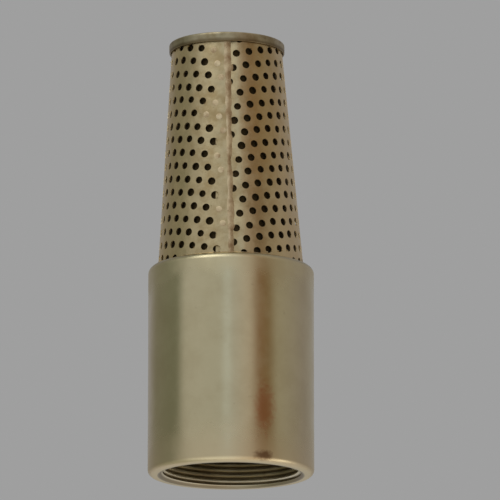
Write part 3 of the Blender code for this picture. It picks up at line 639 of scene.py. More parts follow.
# %% Modifiers, Booleans and turning
def evaluated(blank, *helpers):
    """The blank's mesh with its modifiers applied, as a bmesh. The blank and its helpers go."""
    bpy.context.view_layer.update()
    graph = bpy.context.evaluated_depsgraph_get()
    mesh = bpy.data.meshes.new_from_object(blank.evaluated_get(graph))
    made = bmesh.new()
    made.from_mesh(mesh)
    bpy.data.meshes.remove(mesh)
    for helper in (blank, *helpers):
        bpy.data.objects.remove(helper)
    return made


def combine(bm, other_bm, operation="DIFFERENCE"):
    """The first bmesh less the second, joined with it or inside it, as a new bmesh."""
    blank, other = place("blank", mesh_from("blank", bm)), place("other", mesh_from("other", other_bm))
    modifier = blank.modifiers.new("combine", "BOOLEAN")
    modifier.operation = operation
    modifier.object = other
    return evaluated(blank, other)


def turn(bm, angle, axis="Z"):
    bmesh.ops.rotate(bm, verts=bm.verts, cent=(0, 0, 0), matrix=Matrix.Rotation(angle, 3, axis))


def rod(size, bottom, top, x=0.0, y=0.0, segments=32, bm=None):
    """An upright cylinder of this radius, in a bmesh of its own or added to the given one."""
    bm = bmesh.new() if bm is None else bm
    bmesh.ops.create_cone(bm, cap_ends=True, segments=segments, radius1=size, radius2=size,
                          depth=top - bottom, matrix=Matrix.Translation((x, y, (bottom + top) / 2)))
    return bm


# %% A lathe
TURN_STEPS = 144


def spun(profile, steps=TURN_STEPS, segments=3):
    """A bmesh turned from (radius, height) or (radius, height, corner rounding), in metres."""
    bm = bmesh.new()
    points = [bm.verts.new((point[0], 0, point[1])) for point in profile]
    section = bm.faces.new(points)
    sizes = {}
    for vert, point in zip(points, profile):
        if any(point[2:]):
            sizes.setdefault(point[2], []).append(vert)
    for size, corners in sizes.items():
        bmesh.ops.bevel(bm, geom=corners, offset=size, offset_type="OFFSET", affect="VERTICES",
                        segments=segments, profile=0.5, material=-1)
    bmesh.ops.delete(bm, geom=bm.faces[:], context="FACES_ONLY")
    on_axis = [edge for edge in bm.edges if all(vert.co.x < 1e-7 for vert in edge.verts)]
    bmesh.ops.delete(bm, geom=on_axis, context="EDGES")
    bmesh.ops.spin(bm, geom=bm.verts[:] + bm.edges[:], cent=(0, 0, 0), axis=(0, 0, 1),
                   angle=2 * math.pi, steps=steps, use_merge=True)
    bmesh.ops.remove_doubles(bm, verts=bm.verts, dist=1e-7)
    bmesh.ops.recalc_face_normals(bm, faces=bm.faces)
    return bm


def washer(outer, inner, bottom, top, outer_edge, inner_edge):
    """A turned ring with a rectangular section. An edge is its rounding."""
    return spun([(outer, top, outer_edge), (outer, bottom, outer_edge),
                 (inner, bottom, inner_edge), (inner, top, inner_edge)])


# %% [markdown]
# ## The body
#
# The body is turned from bar. The outside is plain, with a generous rounding at both ends. Inside,
# from the mouth: a countersink, the pipe thread, a runout groove, the bore that holds the outlet
# guide, the poppet's chamber, the seat and the strainer's socket.

# %% The body's section
THREAD_MAJOR = 29.807 * MM
THREAD_DEPTH = 1.479 * MM
THREAD_PITCH = 2.309 * MM
THREAD_MINOR = THREAD_MAJOR - THREAD_DEPTH
THREAD_LENGTH = 22.0 * MM
RUNOUT_TOP = 25.5 * MM
COUNTERSINK = THREAD_MAJOR + 0.5 * MM
GUIDE_BORE = radius("outlet_guide") + GAP
SOCKET_RADIUS = radius("inlet_guide") + GAP
SHOULDER = high("outlet_guide") - 3.9 * MM  # the hub stands above the guide's rim
GROOVE = radius("snap_ring") + GAP
SEAT = high("seal_washer") + GAP
SEAT_BORE = 20.0 * MM
CHAMBER = 30.0 * MM
SHOULDER_BORE = 25.8 * MM
SOCKET_FLOOR = low("inlet_guide") - GAP
body_section = [
    (BODY_RADIUS, BODY_TOP, 2.8 * MM),
    (BODY_RADIUS, 0, 2.4 * MM),
    (COUNTERSINK, 0, 0.15 * MM),
    (THREAD_MINOR, COUNTERSINK - THREAD_MINOR),
    (THREAD_MINOR, THREAD_LENGTH),
    (THREAD_MAJOR + GAP, THREAD_LENGTH),
    (THREAD_MAJOR + GAP, RUNOUT_TOP),
    (GUIDE_BORE, RUNOUT_TOP, 0.2 * MM),
    (GUIDE_BORE, low("snap_ring") - GAP),
    (GROOVE, low("snap_ring") - GAP),
    (GROOVE, high("snap_ring") + GAP),
    (GUIDE_BORE, high("snap_ring") + GAP),
    (GUIDE_BORE, SHOULDER),
    (SHOULDER_BORE, SHOULDER, 0.3 * MM),
    (SHOULDER_BORE, SHOULDER + 4.0 * MM, 0.3 * MM),
    (CHAMBER, SHOULDER + 4.0 * MM),
    (CHAMBER, SEAT + 1.0 * MM, 2.5 * MM),
    (SEAT_BORE + 3.0 * MM, SEAT + 1.0 * MM),
    (SEAT_BORE + 2.0 * MM, SEAT, 0.2 * MM),
    (SEAT_BORE, SEAT, 0.2 * MM),
    (SEAT_BORE, SEAT + 4.0 * MM),
    (25.5 * MM, SOCKET_FLOOR, 0.3 * MM),
    (SOCKET_RADIUS, SOCKET_FLOOR),
    (SOCKET_RADIUS, BODY_TOP, 0.15 * MM),
]
print("section corners:", len(body_section))

# %% [markdown]
# The thread is cut as on the real body. A ridge with the thread's section is spun along a helix
# (*spin* with a rise for each step), and a Boolean takes it out of the bore. It starts below the
# mouth, so the first turn fades out in the countersink.

# %% Cut the pipe thread
STEPS_A_TURN = 96
inside = THREAD_MINOR - 0.15 * MM
FLANK = math.radians(27.5)
root_half = 0.19 * MM
base_half = root_half + (THREAD_MAJOR - inside) * math.tan(FLANK)
start = -1.5 * THREAD_PITCH
turns = (THREAD_LENGTH + 1.7 * MM - start) / THREAD_PITCH
bm = bmesh.new()
ridge = [(inside, -base_half), (THREAD_MAJOR, -root_half), (THREAD_MAJOR, root_half), (inside, base_half)]
points = [bm.verts.new((r, 0, start + z)) for r, z in ridge]
for pair in zip(points, points[1:] + points[:1]):
    bm.edges.new(pair)
turn(bm, 0.3 * math.pi / STEPS_A_TURN)
bmesh.ops.spin(bm, geom=bm.verts[:] + bm.edges[:], cent=(0, 0, 0), axis=(0, 0, 1),
               angle=2 * math.pi * turns, steps=round(turns * STEPS_A_TURN),
               dvec=(0, 0, THREAD_PITCH / STEPS_A_TURN))
bmesh.ops.holes_fill(bm, edges=bm.edges, sides=4)
bmesh.ops.recalc_face_normals(bm, faces=bm.faces)
bm = combine(spun(body_section, steps=STEPS_A_TURN, segments=6), bm)
finish_piece("body_shell", bm, BODY_BRASS, "housing", "valve_body", sharp=32)

# %% [markdown]
# ## The strainer's sheet
#
# A strainer like this is cut from perforated sheet as a part of a ring, rolled into a cone and
# soldered along a lap. The holes run in straight staggered rows on the flat sheet, so on the cone
# the rows sag towards the seam. To get that for free, the sheet is made flat here too: a grid whose
# corners are the hole centres, each widened to a round hole, trimmed along the two seam edges, and
# then rolled point by point. Thickness comes last.

# %% The cone and the flat sheet's lattice
FOOT_RADIUS = SOCKET_RADIUS - 0.45 * MM
TOP_RADIUS = 23.2 * MM
SLOPE = (FOOT_RADIUS - TOP_RADIUS) / (TOP - SHEET_BOTTOM)
HALF_ANGLE = math.atan(SLOPE)
APEX = SHEET_BOTTOM + FOOT_RADIUS / SLOPE
SHEET = 0.6 * MM
LAP = math.radians(12)
RAMP = math.radians(12)
SEAM = math.radians(-90)
HOLE = 1.5 * MM
PITCH = 5.8 * MM
ROW_PITCH = 5.7 * MM
PATTERN_TURN = math.radians(-7)  # the punched rows aren't quite square to the middle of the sheet
COLUMN_SHIFT = 1.9 * MM
FIRST_ROW = (APEX - RIM_BOTTOM - 1.6 * MM) * math.cos(HALF_ANGLE)  # runs under the rim's edge


def cone_radius(z):
    return FOOT_RADIUS - (z - SHEET_BOTTOM) * SLOPE


def lean(bm):
    """Shifts a strainer piece sideways in proportion to its height, as its engineering piece is."""
    shift = Matrix.Identity(4)
    shift[0][2] = -LEAN
    shift[0][3] = LEAN * SHEET_BOTTOM
    bmesh.ops.transform(bm, verts=bm.verts, matrix=shift)


def angle_around(across, down):
    """The angle round the axis from the middle of the sheet to one of its points."""
    return math.atan2(across, down) / math.sin(HALF_ANGLE) - PATTERN_TURN


def rolled(across, down):
    """Where a point of the flat sheet, measured from the cone's apex, comes when it is rolled."""
    slant = math.hypot(across, down)
    around = angle_around(across, down)
    ease = min(max((around + math.pi) / RAMP, 0), 1)  # the inner end lies behind the outer one
    inset = (SHEET + GAP) * (1 - ease * ease * (3 - 2 * ease))
    r = slant * math.sin(HALF_ANGLE) - inset
    z = APEX - slant * math.cos(HALF_ANGLE)
    angle = SEAM + math.pi + around
    return Vector((r * math.cos(angle), r * math.sin(angle), z))


def from_ends(across, down):
    """Distances along the sheet from its outer end, at the seam, and from its inner end."""
    around = angle_around(across, down)
    r = down * math.sin(HALF_ANGLE)
    return (math.pi - around) * r, (around + math.pi + LAP) * r


print(f"the cone's half angle is {math.degrees(HALF_ANGLE):.2f} degrees")

# %% [markdown]
# Beside the seam a strip is left plain for soldering. The solder also filled the nearest holes, more
# of them towards the end of the strainer, where the iron was held longest.

# %% Which lattice points have a hole
CLAMP_HEIGHT = BODY_TOP + 60.5 * MM  # a clamp drew the solder further out here


def kind_of_hole(across, down):
    """open, filled or none, for a lattice point of the flat sheet."""
    z = rolled(across, down).z
    to_seam, to_start = from_ends(across, down)
    if not BODY_TOP - 1.0 * MM < z < RIM_BOTTOM + HOLE - 0.3 * MM or to_start < HOLE + 0.8 * MM:
        return "none"
    share = (z - BODY_TOP) / (RIM_BOTTOM - BODY_TOP)
    soldered = (4.2 + 1.9 * share) * MM
    if abs(z - CLAMP_HEIGHT) < ROW_PITCH / 2 - 0.4 * MM:
        soldered += 7.0 * MM
    if to_seam > soldered:
        return "open"
    return "filled" if to_seam > HOLE + 0.5 * MM else "none"


# %% Make the flat perforated sheet
PUNCH_GRAIN = 3.7 * MM
PUNCH_WANDER = 0.35 * MM


def hole_centre(point):
    """The lattice point with a hole that is nearest to a point of the flat sheet."""
    row = round((point.y - FIRST_ROW) / ROW_PITCH)
    column = 2 * (point.x - COLUMN_SHIFT) / PITCH
    column = row % 2 + 2 * round((column - row % 2) / 2)
    return Vector((column * PITCH / 2 + COLUMN_SHIFT, FIRST_ROW + row * ROW_PITCH, 0))


def perforate(bm, holes):
    """Bevels the lattice corners, brings their rims to a circle and then makes them a little uneven."""
    bevelled = bmesh.ops.bevel(bm, geom=holes, offset=HOLE, offset_type="OFFSET",
                               affect="VERTICES", segments=1, profile=0.5, material=-1)
    discs = [face for face in bevelled["faces"] if len(face.verts) == 4]
    rims = [edge for face in discs for edge in face.edges]
    made = len(discs)
    bmesh.ops.delete(bm, geom=discs, context="FACES_ONLY")
    for _ in range(2):
        cut = bmesh.ops.subdivide_edges(bm, edges=rims, cuts=1)
        rims = [item for item in cut["geom"] if isinstance(item, bmesh.types.BMEdge) and item.is_boundary]
        corners = {vert for edge in rims for vert in edge.verts}
        for vert in corners:
            centre = hole_centre(vert.co)
            vert.co = centre + (vert.co - centre).normalized() * HOLE
    for vert in corners:
        centre = hole_centre(vert.co)
        worn_punch = noise_vector(centre / PUNCH_GRAIN)
        vert.co = centre + (vert.co - centre) * (1.07 + 0.16 * worn_punch.z)
        vert.co += Vector((worn_punch.x, worn_punch.y, 0)) * PUNCH_WANDER
    return made


first = FIRST_ROW - 2 * ROW_PITCH
rows = math.ceil((FOOT_RADIUS / math.sin(HALF_ANGLE) + 6 * MM - first) / ROW_PITCH) + 1
half_width = math.ceil(1.15 * math.pi * 34 * MM / PITCH)  # in pitches, with some to trim away
bm = bmesh.new()
bmesh.ops.create_grid(bm, x_segments=4 * half_width, y_segments=rows, size=0.5)
bmesh.ops.scale(bm, verts=bm.verts, vec=(2 * half_width * PITCH, rows * ROW_PITCH, 1))
bmesh.ops.translate(bm, verts=bm.verts, vec=(COLUMN_SHIFT, first + rows * ROW_PITCH / 2, 0))
holes, filled = [], []
for vert in bm.verts:
    across, down = vert.co.x, vert.co.y
    row, column = round((down - FIRST_ROW) / ROW_PITCH), round(2 * (across - COLUMN_SHIFT) / PITCH)
    if (row + column) % 2 == 0:
        kind = kind_of_hole(across, down)
        if kind == "open":
            holes.append(vert)
        elif kind == "filled":
            filled.append((across, down))
print(f"{perforate(bm, holes)} holes of {len(holes)}, {len(filled)} filled")

# %% [markdown]
# The two seam edges are straight lines towards the cone's apex, so a bisect trims each. After
# rolling, two level planes trim the top and the bottom, *solidify* gives the sheet its thickness and
# *bevel* softens the punched edges.

# %% Trim, roll and thicken
def trim(bm, point, normal):
    """Cuts away what lies on the normal's side of the plane."""
    bmesh.ops.bisect_plane(bm, geom=bm.verts[:] + bm.edges[:] + bm.faces[:], dist=1e-7,
                           plane_co=point, plane_no=normal, clear_outer=True)


for edge_angle, side in ((math.pi + PATTERN_TURN, 1), (PATTERN_TURN - math.pi - LAP, -1)):
    flat_angle = edge_angle * math.sin(HALF_ANGLE)
    trim(bm, (0, 0, 0), Vector((math.cos(flat_angle), -math.sin(flat_angle), 0)) * side)
for vert in bm.verts:
    vert.co = rolled(vert.co.x, vert.co.y)
trim(bm, (0, 0, SHEET_TOP), (0, 0, 1))
trim(bm, (0, 0, SHEET_BOTTOM), (0, 0, -1))
bm.normal_update()
outward = sum(1 if face.normal.dot(face.calc_center_median()) > 0 else -1 for face in bm.faces)
if outward < 0:
    bmesh.ops.reverse_faces(bm, faces=bm.faces)
    bm.normal_update()
blank = place("strainer_blank", mesh_from("strainer_blank", bm))
wall = blank.modifiers.new("sheet", "SOLIDIFY")
wall.thickness = SHEET
wall.offset = -1
edge = blank.modifiers.new("punched_edge", "BEVEL")
edge.width = 0.1 * MM
edge.segments = 2
edge.limit_method = "ANGLE"
edge.angle_limit = math.radians(50)
edge.use_clamp_overlap = True
bm = evaluated(blank)
lean(bm)
print(f"{len(bm.faces)} faces, {sum(not edge.is_manifold for edge in bm.edges)} open edges")

# %% [markdown]
# Each face between the holes has many corners, and a smooth shade guessed from such faces is blotchy.
# The cone is known exactly, so its two skins get their normals from it. The punched edges keep theirs.

# %% Give the skins the cone's normals
def cone_normal(point):
    r = math.hypot(point.x, point.y)
    outward = Vector((point.x / r, point.y / r, 0))
    inner = (math.atan2(point.y, point.x) - SEAM) % (2 * math.pi)
    ease = min(max(inner / RAMP, 0), 1)
    steep = 6 * ease * (1 - ease) * (SHEET + GAP) / RAMP
    along = Vector((-outward.y, outward.x, 0))
    return (outward - along * steep / r + Vector((0, 0, SLOPE))).normalized()


screen = finish_piece("strainer_sheet", bm, SHEET_BRASS, "housing", "strainer_screen", sharp=50)
normals = []
for face in screen.data.polygons:
    for loop in face.loop_indices:
        point = screen.data.vertices[screen.data.loops[loop].vertex_index].co
        skin = cone_normal(point + Vector((LEAN * (point.z - SHEET_BOTTOM), 0, 0)))
        facing = face.normal.dot(skin)
        normals.append(skin if facing > 0.93 else -skin if facing < -0.93 else Vector((0, 0, 0)))
screen.data.normals_split_custom_set(normals)

# %% [markdown]
# ## Solder
#
# The solder is a thin fillet along the seam and round the strainer's foot, and a low drop in every
# filled hole. Solder never lies evenly, so the fillets' corners are pushed about by a smooth noise.

# %% Filled holes
drops = bmesh.new()
for across, down in filled:
    centre = rolled(across, down)
    towards = cone_normal(centre).to_track_quat("Z", "Y").to_matrix().to_4x4()
    drop = bmesh.ops.create_uvsphere(drops, u_segments=16, v_segments=8, radius=HOLE * 0.9)
    bmesh.ops.scale(drops, verts=drop["verts"], vec=(1, 1, 0.05))
    bmesh.ops.transform(drops, verts=drop["verts"], matrix=Matrix.Translation(centre) @ towards)
lean(drops)
finish_piece("solder_drops", drops, SEAM_SOLDER, "housing")

# %% Seam fillet
SEAM_STEPS = 150
SEAM_FOOT = SHEET_BOTTOM + 6 * MM
length = RIM_BOTTOM + 0.3 * MM - SEAM_FOOT
seam = bmesh.new()
points = [seam.verts.new((across * MM, depth * MM, SEAM_FOOT)) for across, depth in
          [(-0.9, 0.03), (-0.2, 0.10), (0.5, -0.10), (1.7, -0.84), (0.9, -0.98), (-0.8, -0.12)]]
ring = [seam.edges.new(pair) for pair in zip(points, points[1:] + points[:1])]
seam.faces.new(points)
for _ in range(SEAM_STEPS):
    grown = bmesh.ops.extrude_edge_only(seam, edges=ring)["geom"]
    moved = [item for item in grown if isinstance(item, bmesh.types.BMVert)]
    bmesh.ops.translate(seam, verts=moved, vec=(0, 0, length / SEAM_STEPS))
    ring = [item for item in grown if isinstance(item, bmesh.types.BMEdge)
            and all(vert in moved for vert in item.verts)]
bmesh.ops.holes_fill(seam, edges=seam.edges, sides=0)
for vert in seam.verts:
    across, depth, z = vert.co
    wander = noise_vector(Vector((0, 0, z / (2.4 * MM))))
    slow = noise_vector(Vector((5, 0, z / (7 * MM))))
    across = across * (1 + 0.45 * wander.x + 0.5 * slow.x) + 0.15 * MM * wander.y
    r = cone_radius(z) + depth + 0.06 * MM * wander.z
    angle = SEAM + across / r
    vert.co = Vector((r * math.cos(angle), r * math.sin(angle), z))
bmesh.ops.recalc_face_normals(seam, faces=seam.faces)
lean(seam)
finish_piece("seam_solder", seam, SEAM_SOLDER, "housing")

# %% Foot fillet
FOOT_GRAIN = 1.6 * MM
foot = spun([
    (cone_radius(BODY_TOP + 0.75 * MM) - 0.2 * MM, BODY_TOP + 0.75 * MM),
    (cone_radius(BODY_TOP) - 0.25 * MM, BODY_TOP - 0.6 * MM),
    (SOCKET_RADIUS + 0.02 * MM, BODY_TOP - 0.6 * MM),
    (SOCKET_RADIUS + 0.25 * MM, BODY_TOP + 0.05 * MM),
    (SOCKET_RADIUS - 0.35 * MM, BODY_TOP + 0.25 * MM),
], steps=240)
for vert in foot.verts:
    vert.co += noise_vector(vert.co / FOOT_GRAIN) * 0.16 * MM
finish_piece("foot_solder", foot, SEAM_SOLDER, "housing")

# %% [markdown]
# ## The gauze lining
#
# Behind the punched sheet lies a fine gauze, dark with oxide, which is what shows through the holes.
# Its wires are far too fine to model one by one, so the lining is a thin turned skin and the weave is
# in its material. The gaps between the wires are painted near-black: painted shade for the dark
# inside of the strainer.

# %% The gauze lining
liner_low, liner_high = low("mesh_liner"), high("mesh_liner")
BEHIND = 2 * (SHEET + GAP)
LINER = 0.3 * MM
liner = spun([
    (cone_radius(liner_high) - BEHIND, liner_high),
    (cone_radius(liner_low) - BEHIND, liner_low),
    (cone_radius(liner_low) - BEHIND - LINER, liner_low),
    (cone_radius(liner_high) - BEHIND - LINER, liner_high),
])
lean(liner)
finish_piece("gauze_lining", liner, GAUZE, "housing", "mesh_liner")

# %% [markdown]
# ## The strainer's end
#
# A perforated disc closes the strainer, and a band is crimped over both. The band's outer edge is
# rounded by the crimping tool and its lower edge is turned in slightly, which leaves a fine dark
# line under it. The band's material adds a painted shadow along that lower edge.

# %% The crimped rim
BAND = 0.75 * MM
RIM_OPENING = RIM_RADIUS - 3.9 * MM
rim = spun([
    (RIM_RADIUS - 0.15 * MM, TOP, 0.6 * MM),
    (RIM_RADIUS, TOP - 1.2 * MM, 0.3 * MM),
    (RIM_RADIUS - 0.1 * MM, RIM_BOTTOM, 0.3 * MM),
    (RIM_RADIUS - BAND, RIM_BOTTOM, 0.15 * MM),
    (RIM_RADIUS - BAND, TOP - BAND),
    (RIM_OPENING, TOP - BAND, 0.2 * MM),
    (RIM_OPENING, TOP, 0.3 * MM),
])
lean(rim)
finish_piece("crimped_rim", rim, RIM_BRASS, "housing", "strainer_rim", sharp=30)

# %% [markdown]
# The disc is a thin cylinder. Its holes are one mesh of small cylinders, taken out with a Boolean.

# %% The perforated end disc
disc_low = low("strainer_end_disc")
disc = rod(radius("strainer_end_disc"), disc_low, high("strainer_end_disc"), segments=96)
reach = RIM_OPENING - 1.6 * MM - HOLE
punches = bmesh.new()
count = math.ceil(reach / ROW_PITCH)
for row in range(-count, count + 1):
    for column in range(-count - 1, count + 2):
        x, y = (column + 0.5 * (row % 2)) * PITCH, row * ROW_PITCH
        if math.hypot(x, y) < reach:
            rod(HOLE, disc_low - 2 * MM, disc_low + 2 * MM, x, y, segments=20, bm=punches)
bm = combine(disc, punches)
lean(bm)
finish_piece("perforated_end", bm, SHEET_BRASS, "housing", "strainer_end_disc", sharp=30)

# %% [markdown]
# ## The ring and the guides
#
# A ring inside the strainer's foot holds the sheet down. Under it the inlet guide keeps the stem's
# tip on the axis, and the outlet guide by the mouth carries the spring. Each guide is a casting with
# a turned rim and hub and three arms between them, so a rim and a hub are spun, three bars with
# rounded edges are laid between them, and Booleans join them.

# %% Strainer ring
ring_low, ring_high = low("strainer_ring"), high("strainer_ring")
FLANGE = 2.0 * MM
NECK = 2 * (SHEET + GAP) + GAP
RING_BORE = 26.5 * MM
finish_piece("strainer_foot_ring", spun([
    (cone_radius(ring_high) - NECK, ring_high, 0.3 * MM),
    (cone_radius(ring_low + FLANGE) - NECK, ring_low + FLANGE),
    (radius("strainer_ring"), ring_low + FLANGE, 0.25 * MM),
    (radius("strainer_ring"), ring_low, 0.25 * MM),
    (RING_BORE, ring_low, 0.3 * MM),
    (RING_BORE, ring_high, 0.3 * MM),
]), TURNED_BRASS, "housing", "strainer_ring")

# %% Guides
ARM_WIDTH = 5.0 * MM
RIM_WIDTH = 3.1 * MM
HUB = 8.0 * MM


def spider(name, node, rim_low, rim_high, arm_high, bore):
    """A guide: its rim, its hub and three arms."""
    outer = radius(node)
    rim = washer(outer, outer - RIM_WIDTH, rim_low, rim_high, 0.3 * MM, 0.4 * MM)
    bm = combine(rim, washer(HUB, bore, low(node), high(node), 0.5 * MM, 0.2 * MM), "UNION")
    start, end = HUB - 1.2 * MM, outer - RIM_WIDTH / 2
    for arm in range(3):
        bar = bmesh.new()
        bmesh.ops.create_cube(bar, size=1)
        bmesh.ops.scale(bar, verts=bar.verts, vec=(end - start, ARM_WIDTH, arm_high - rim_low - 0.04 * MM))
        lengthwise = [edge for edge in bar.edges
                      if abs((edge.verts[0].co - edge.verts[1].co).x) > 0.5 * (end - start)]
        bmesh.ops.bevel(bar, geom=lengthwise, offset=0.7 * MM, affect="EDGES", segments=3,
                        profile=0.5, material=-1)
        bmesh.ops.translate(bar, verts=bar.verts, vec=((start + end) / 2, 0, (rim_low + arm_high) / 2))
        turn(bar, arm * 2 * math.pi / 3)
        bm = combine(bm, bar, "UNION")
    finish_piece(name, bm, TURNED_BRASS, "housing", node, sharp=35)


OUTLET_LOW = high("snap_ring") + GAP
spider("outlet_spider", "outlet_guide", OUTLET_LOW, SHOULDER - GAP, OUTLET_LOW + 3.0 * MM, 5.8 * MM)
INLET_LOW = low("inlet_guide")
spider("inlet_spider", "inlet_guide", INLET_LOW, INLET_LOW + 3.5 * MM, INLET_LOW + 3.5 * MM, 5.1 * MM)

# %% [markdown]
# The nylon bushes are flanged sleeves. The snap ring is spring steel: an open ring with a drilled
# lug at each end for the pliers.

# %% Bushes
BUSH_WALL = 1.4 * MM
FLANGE_HIGH = 0.9 * MM


def bush(name, node, bore, flanged_end, free_end):
    """A sleeve with a flange at one end. The ends are heights."""
    flange_back = flanged_end + math.copysign(FLANGE_HIGH, free_end - flanged_end)
    finish_piece(name, spun([
        (bore + BUSH_WALL, free_end, 0.2 * MM),
        (bore + BUSH_WALL, flange_back),
        (radius(node), flange_back, 0.2 * MM),
        (radius(node), flanged_end, 0.3 * MM),
        (bore, flanged_end, 0.3 * MM),
        (bore, free_end, 0.2 * MM),
    ], steps=72), NYLON, "housing", node)


bush("outlet_sleeve", "outlet_bush", 4.1 * MM, low("outlet_bush"), high("outlet_bush"))
bush("inlet_sleeve", "inlet_bush", 3.4 * MM, high("inlet_bush"), low("inlet_bush"))


# %% Snap ring
def open_ring(inner, outer, bottom, top, opening, steps):
    """A ring with a gap of the given angle on its +X side."""
    bm = bmesh.new()
    corners = [bm.verts.new((r, 0, z)) for r, z in
               ((inner, bottom), (outer, bottom), (outer, top), (inner, top))]
    face = bm.faces.new(corners)
    turn(bm, opening / 2)
    bmesh.ops.spin(bm, geom=[face, *face.edges, *face.verts], cent=(0, 0, 0), axis=(0, 0, 1),
                   angle=2 * math.pi - opening, steps=steps, use_duplicate=False)
    bmesh.ops.recalc_face_normals(bm, faces=bm.faces)
    return bm


bottom, top, outer = low("snap_ring"), high("snap_ring"), GROOVE - GAP
OPENING = math.radians(24)
RING_WIDTH = 2.4 * MM
LUG = 2.6 * MM
lug_at = outer - RING_WIDTH - 0.4 * LUG
bm = open_ring(outer - RING_WIDTH, outer, bottom, top, OPENING, 120)
for way in (-1, 1):
    angle = way * (OPENING / 2 + LUG / lug_at)
    x, y = lug_at * math.cos(angle), lug_at * math.sin(angle)
    bm = combine(bm, rod(LUG, bottom + 0.02 * MM, top - 0.02 * MM, x, y), "UNION")
    bm = combine(bm, rod(1.1 * MM, bottom - MM, top + MM, x, y, segments=24))
finish_piece("guide_snap_ring", bm, STEEL, "housing", "snap_ring", sharp=30)

# %% [markdown]
# ## The poppet
#
# The stem carries a stack that is clamped by a nut: the disc with the rubber seal in its pocket, a
# plate, a split washer and the nut, kept by a cotter pin. All of it moves with the poppet.

# %% Stem
STEM = 4.0 * MM
TIP = 3.3 * MM
PIN = 0.7 * MM
collar_high = low("valve_disc") - GAP
collar_low = collar_high - 1.5 * MM
pin_height = (low("cotter_pin") + high("cotter_pin")) / 2
shoulder = pin_height + PIN + 2 * GAP
bottom, top = low("valve_stem"), high("valve_stem")
stem = spun([
    (0, top),
    (TIP, top, 0.7 * MM),
    (TIP, shoulder),
    (STEM, shoulder - (STEM - TIP)),
    (STEM, collar_high),
    (radius("valve_stem"), collar_high, 0.2 * MM),
    (radius("valve_stem"), collar_low, 0.3 * MM),
    (STEM, collar_low),
    (STEM, bottom, 0.7 * MM),
    (0, bottom),
], steps=72)
drill = rod(PIN + GAP, -3 * STEM, 3 * STEM, segments=24)
turn(drill, math.pi / 2, "Y")
bmesh.ops.translate(drill, verts=drill.verts, vec=(0, 0, pin_height))
finish_piece("poppet_stem", combine(stem, drill), TURNED_BRASS, "poppet", "valve_stem", sharp=35)

# %% Disc, seal and plate
BORE = STEM + GAP
seal_low, seal_high, seal_radius = low("seal_washer"), high("seal_washer"), radius("seal_washer")
disc_bottom, disc_top, disc_outer = low("valve_disc"), high("valve_disc"), radius("valve_disc")
web_low = disc_bottom + 2.0 * MM
BOSS = 8.0 * MM
finish_piece("poppet_disc", spun([
    (disc_outer, disc_top, 0.2 * MM),
    (disc_outer, web_low + 1.0 * MM),
    (disc_outer - 1.0 * MM, web_low, 0.3 * MM),
    (BOSS, web_low, 0.6 * MM),
    (BOSS, disc_bottom, 0.4 * MM),
    (BORE, disc_bottom),
    (BORE, seal_low - GAP),
    (seal_radius + GAP, seal_low - GAP),
    (seal_radius + GAP, disc_top, 0.2 * MM),
]), TURNED_BRASS, "poppet", "valve_disc")
for name, node, material, rounding in (("rubber_seal", "seal_washer", RUBBER, 0.4 * MM),
                                       ("clamp_plate", "washer_plate", TURNED_BRASS, 0.3 * MM)):
    ring = washer(radius(node), BORE, low(node), high(node), rounding, 0)
    finish_piece(name, ring, material, "poppet", node)

# %% [markdown]
# The nut is a hexagon whose corners are turned off, which is where its top and bottom faces and a
# cone meet. A Boolean intersect with a spun barrel cuts exactly that.

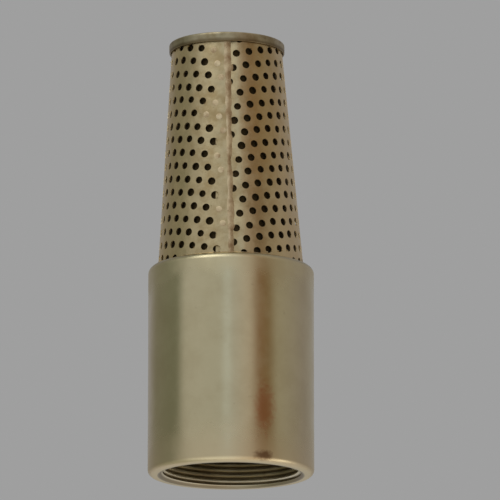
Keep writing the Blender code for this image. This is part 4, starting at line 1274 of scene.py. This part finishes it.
# %% Lock washer and nut
bottom, top = low("lock_washer"), high("lock_washer")
bm = open_ring(BORE, 7.4 * MM, bottom, top, math.radians(14), 72)
finish_piece("split_washer", bm, STEEL, "poppet", "lock_washer", sharp=30)
bottom, top = low("stem_nut"), high("stem_nut")
FLATS = 13.0 * MM
corner = FLATS / 2 / math.cos(math.pi / 6)
barrel = spun([
    (corner - 0.8 * MM, top),
    (corner + 0.1 * MM, top - 0.55 * MM),
    (corner + 0.1 * MM, bottom + 0.55 * MM),
    (corner - 0.8 * MM, bottom),
    (BORE, bottom, 0.25 * MM),
    (BORE, top, 0.25 * MM),
], steps=96)
hexagon = rod(corner, bottom - MM, top + MM, segments=6)
nut = combine(barrel, hexagon, "INTERSECT")
finish_piece("brass_nut", nut, TURNED_BRASS, "poppet", "stem_nut", sharp=25)

# %% [markdown]
# ## Wire
#
# The cotter pin and the spring are wire. A curve with a round bevel follows the wire's middle line
# and is turned into a mesh.

# %% A wire helper
def wire(points, wire_radius):
    curve = bpy.data.curves.new("wire", "CURVE")
    curve.dimensions = "3D"
    curve.bevel_depth = wire_radius
    curve.bevel_resolution = 4
    curve.use_fill_caps = True
    spline = curve.splines.new("POLY")
    spline.points.add(len(points) - 1)
    for point, place_at in zip(spline.points, points):
        point.co = (*place_at, 1)
    bm = evaluated(place("wire", curve))
    bmesh.ops.remove_doubles(bm, verts=bm.verts, dist=0.001 * MM)
    bmesh.ops.recalc_face_normals(bm, faces=bm.faces)
    return bm


# %% Cotter pin
EYE = 1.7 * MM
REACH = 6.4 * MM
eye = []
for i in range(33):
    angle = math.radians(300 - i * 300 / 32)
    eye.append((-REACH - EYE + EYE * math.cos(angle), EYE * math.sin(angle), pin_height))
shank = [(REACH * share / 4, 0, pin_height) for share in range(-3, 5)]
finish_piece("split_pin", wire(eye + shank, PIN), STEEL, "poppet", "cotter_pin")

# %% [markdown]
# The spring is a cone of wire with closed end turns, so it can't tip. It is anchored on the guide's
# arms. In the valve it shortens as the poppet opens, to less than half of its length.

# %% Return spring
WIRE = 0.8 * MM
TURNS = 5.5
CLOSED = 0.75
BASE, NARROW = 15.0 * MM, 9.8 * MM
spring_low, spring_high = low("return_spring"), high("return_spring")
POINTS_A_TURN = 40
count = round(TURNS * POINTS_A_TURN)
path = []
for i in range(count + 1):
    turn = i / POINTS_A_TURN
    share = min(max((turn - CLOSED) / (TURNS - 2 * CLOSED), 0), 1)
    rise = 0.12 * i / count + 0.88 * share
    r = BASE + (NARROW - BASE) * i / count
    angle = 2 * math.pi * turn
    z = spring_low + WIRE + (spring_high - spring_low - 2 * WIRE) * rise
    path.append((r * math.cos(angle), r * math.sin(angle), z))
spring = finish_piece("closing_spring", wire(path, WIRE), STEEL, "housing", "return_spring")
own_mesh(spring)
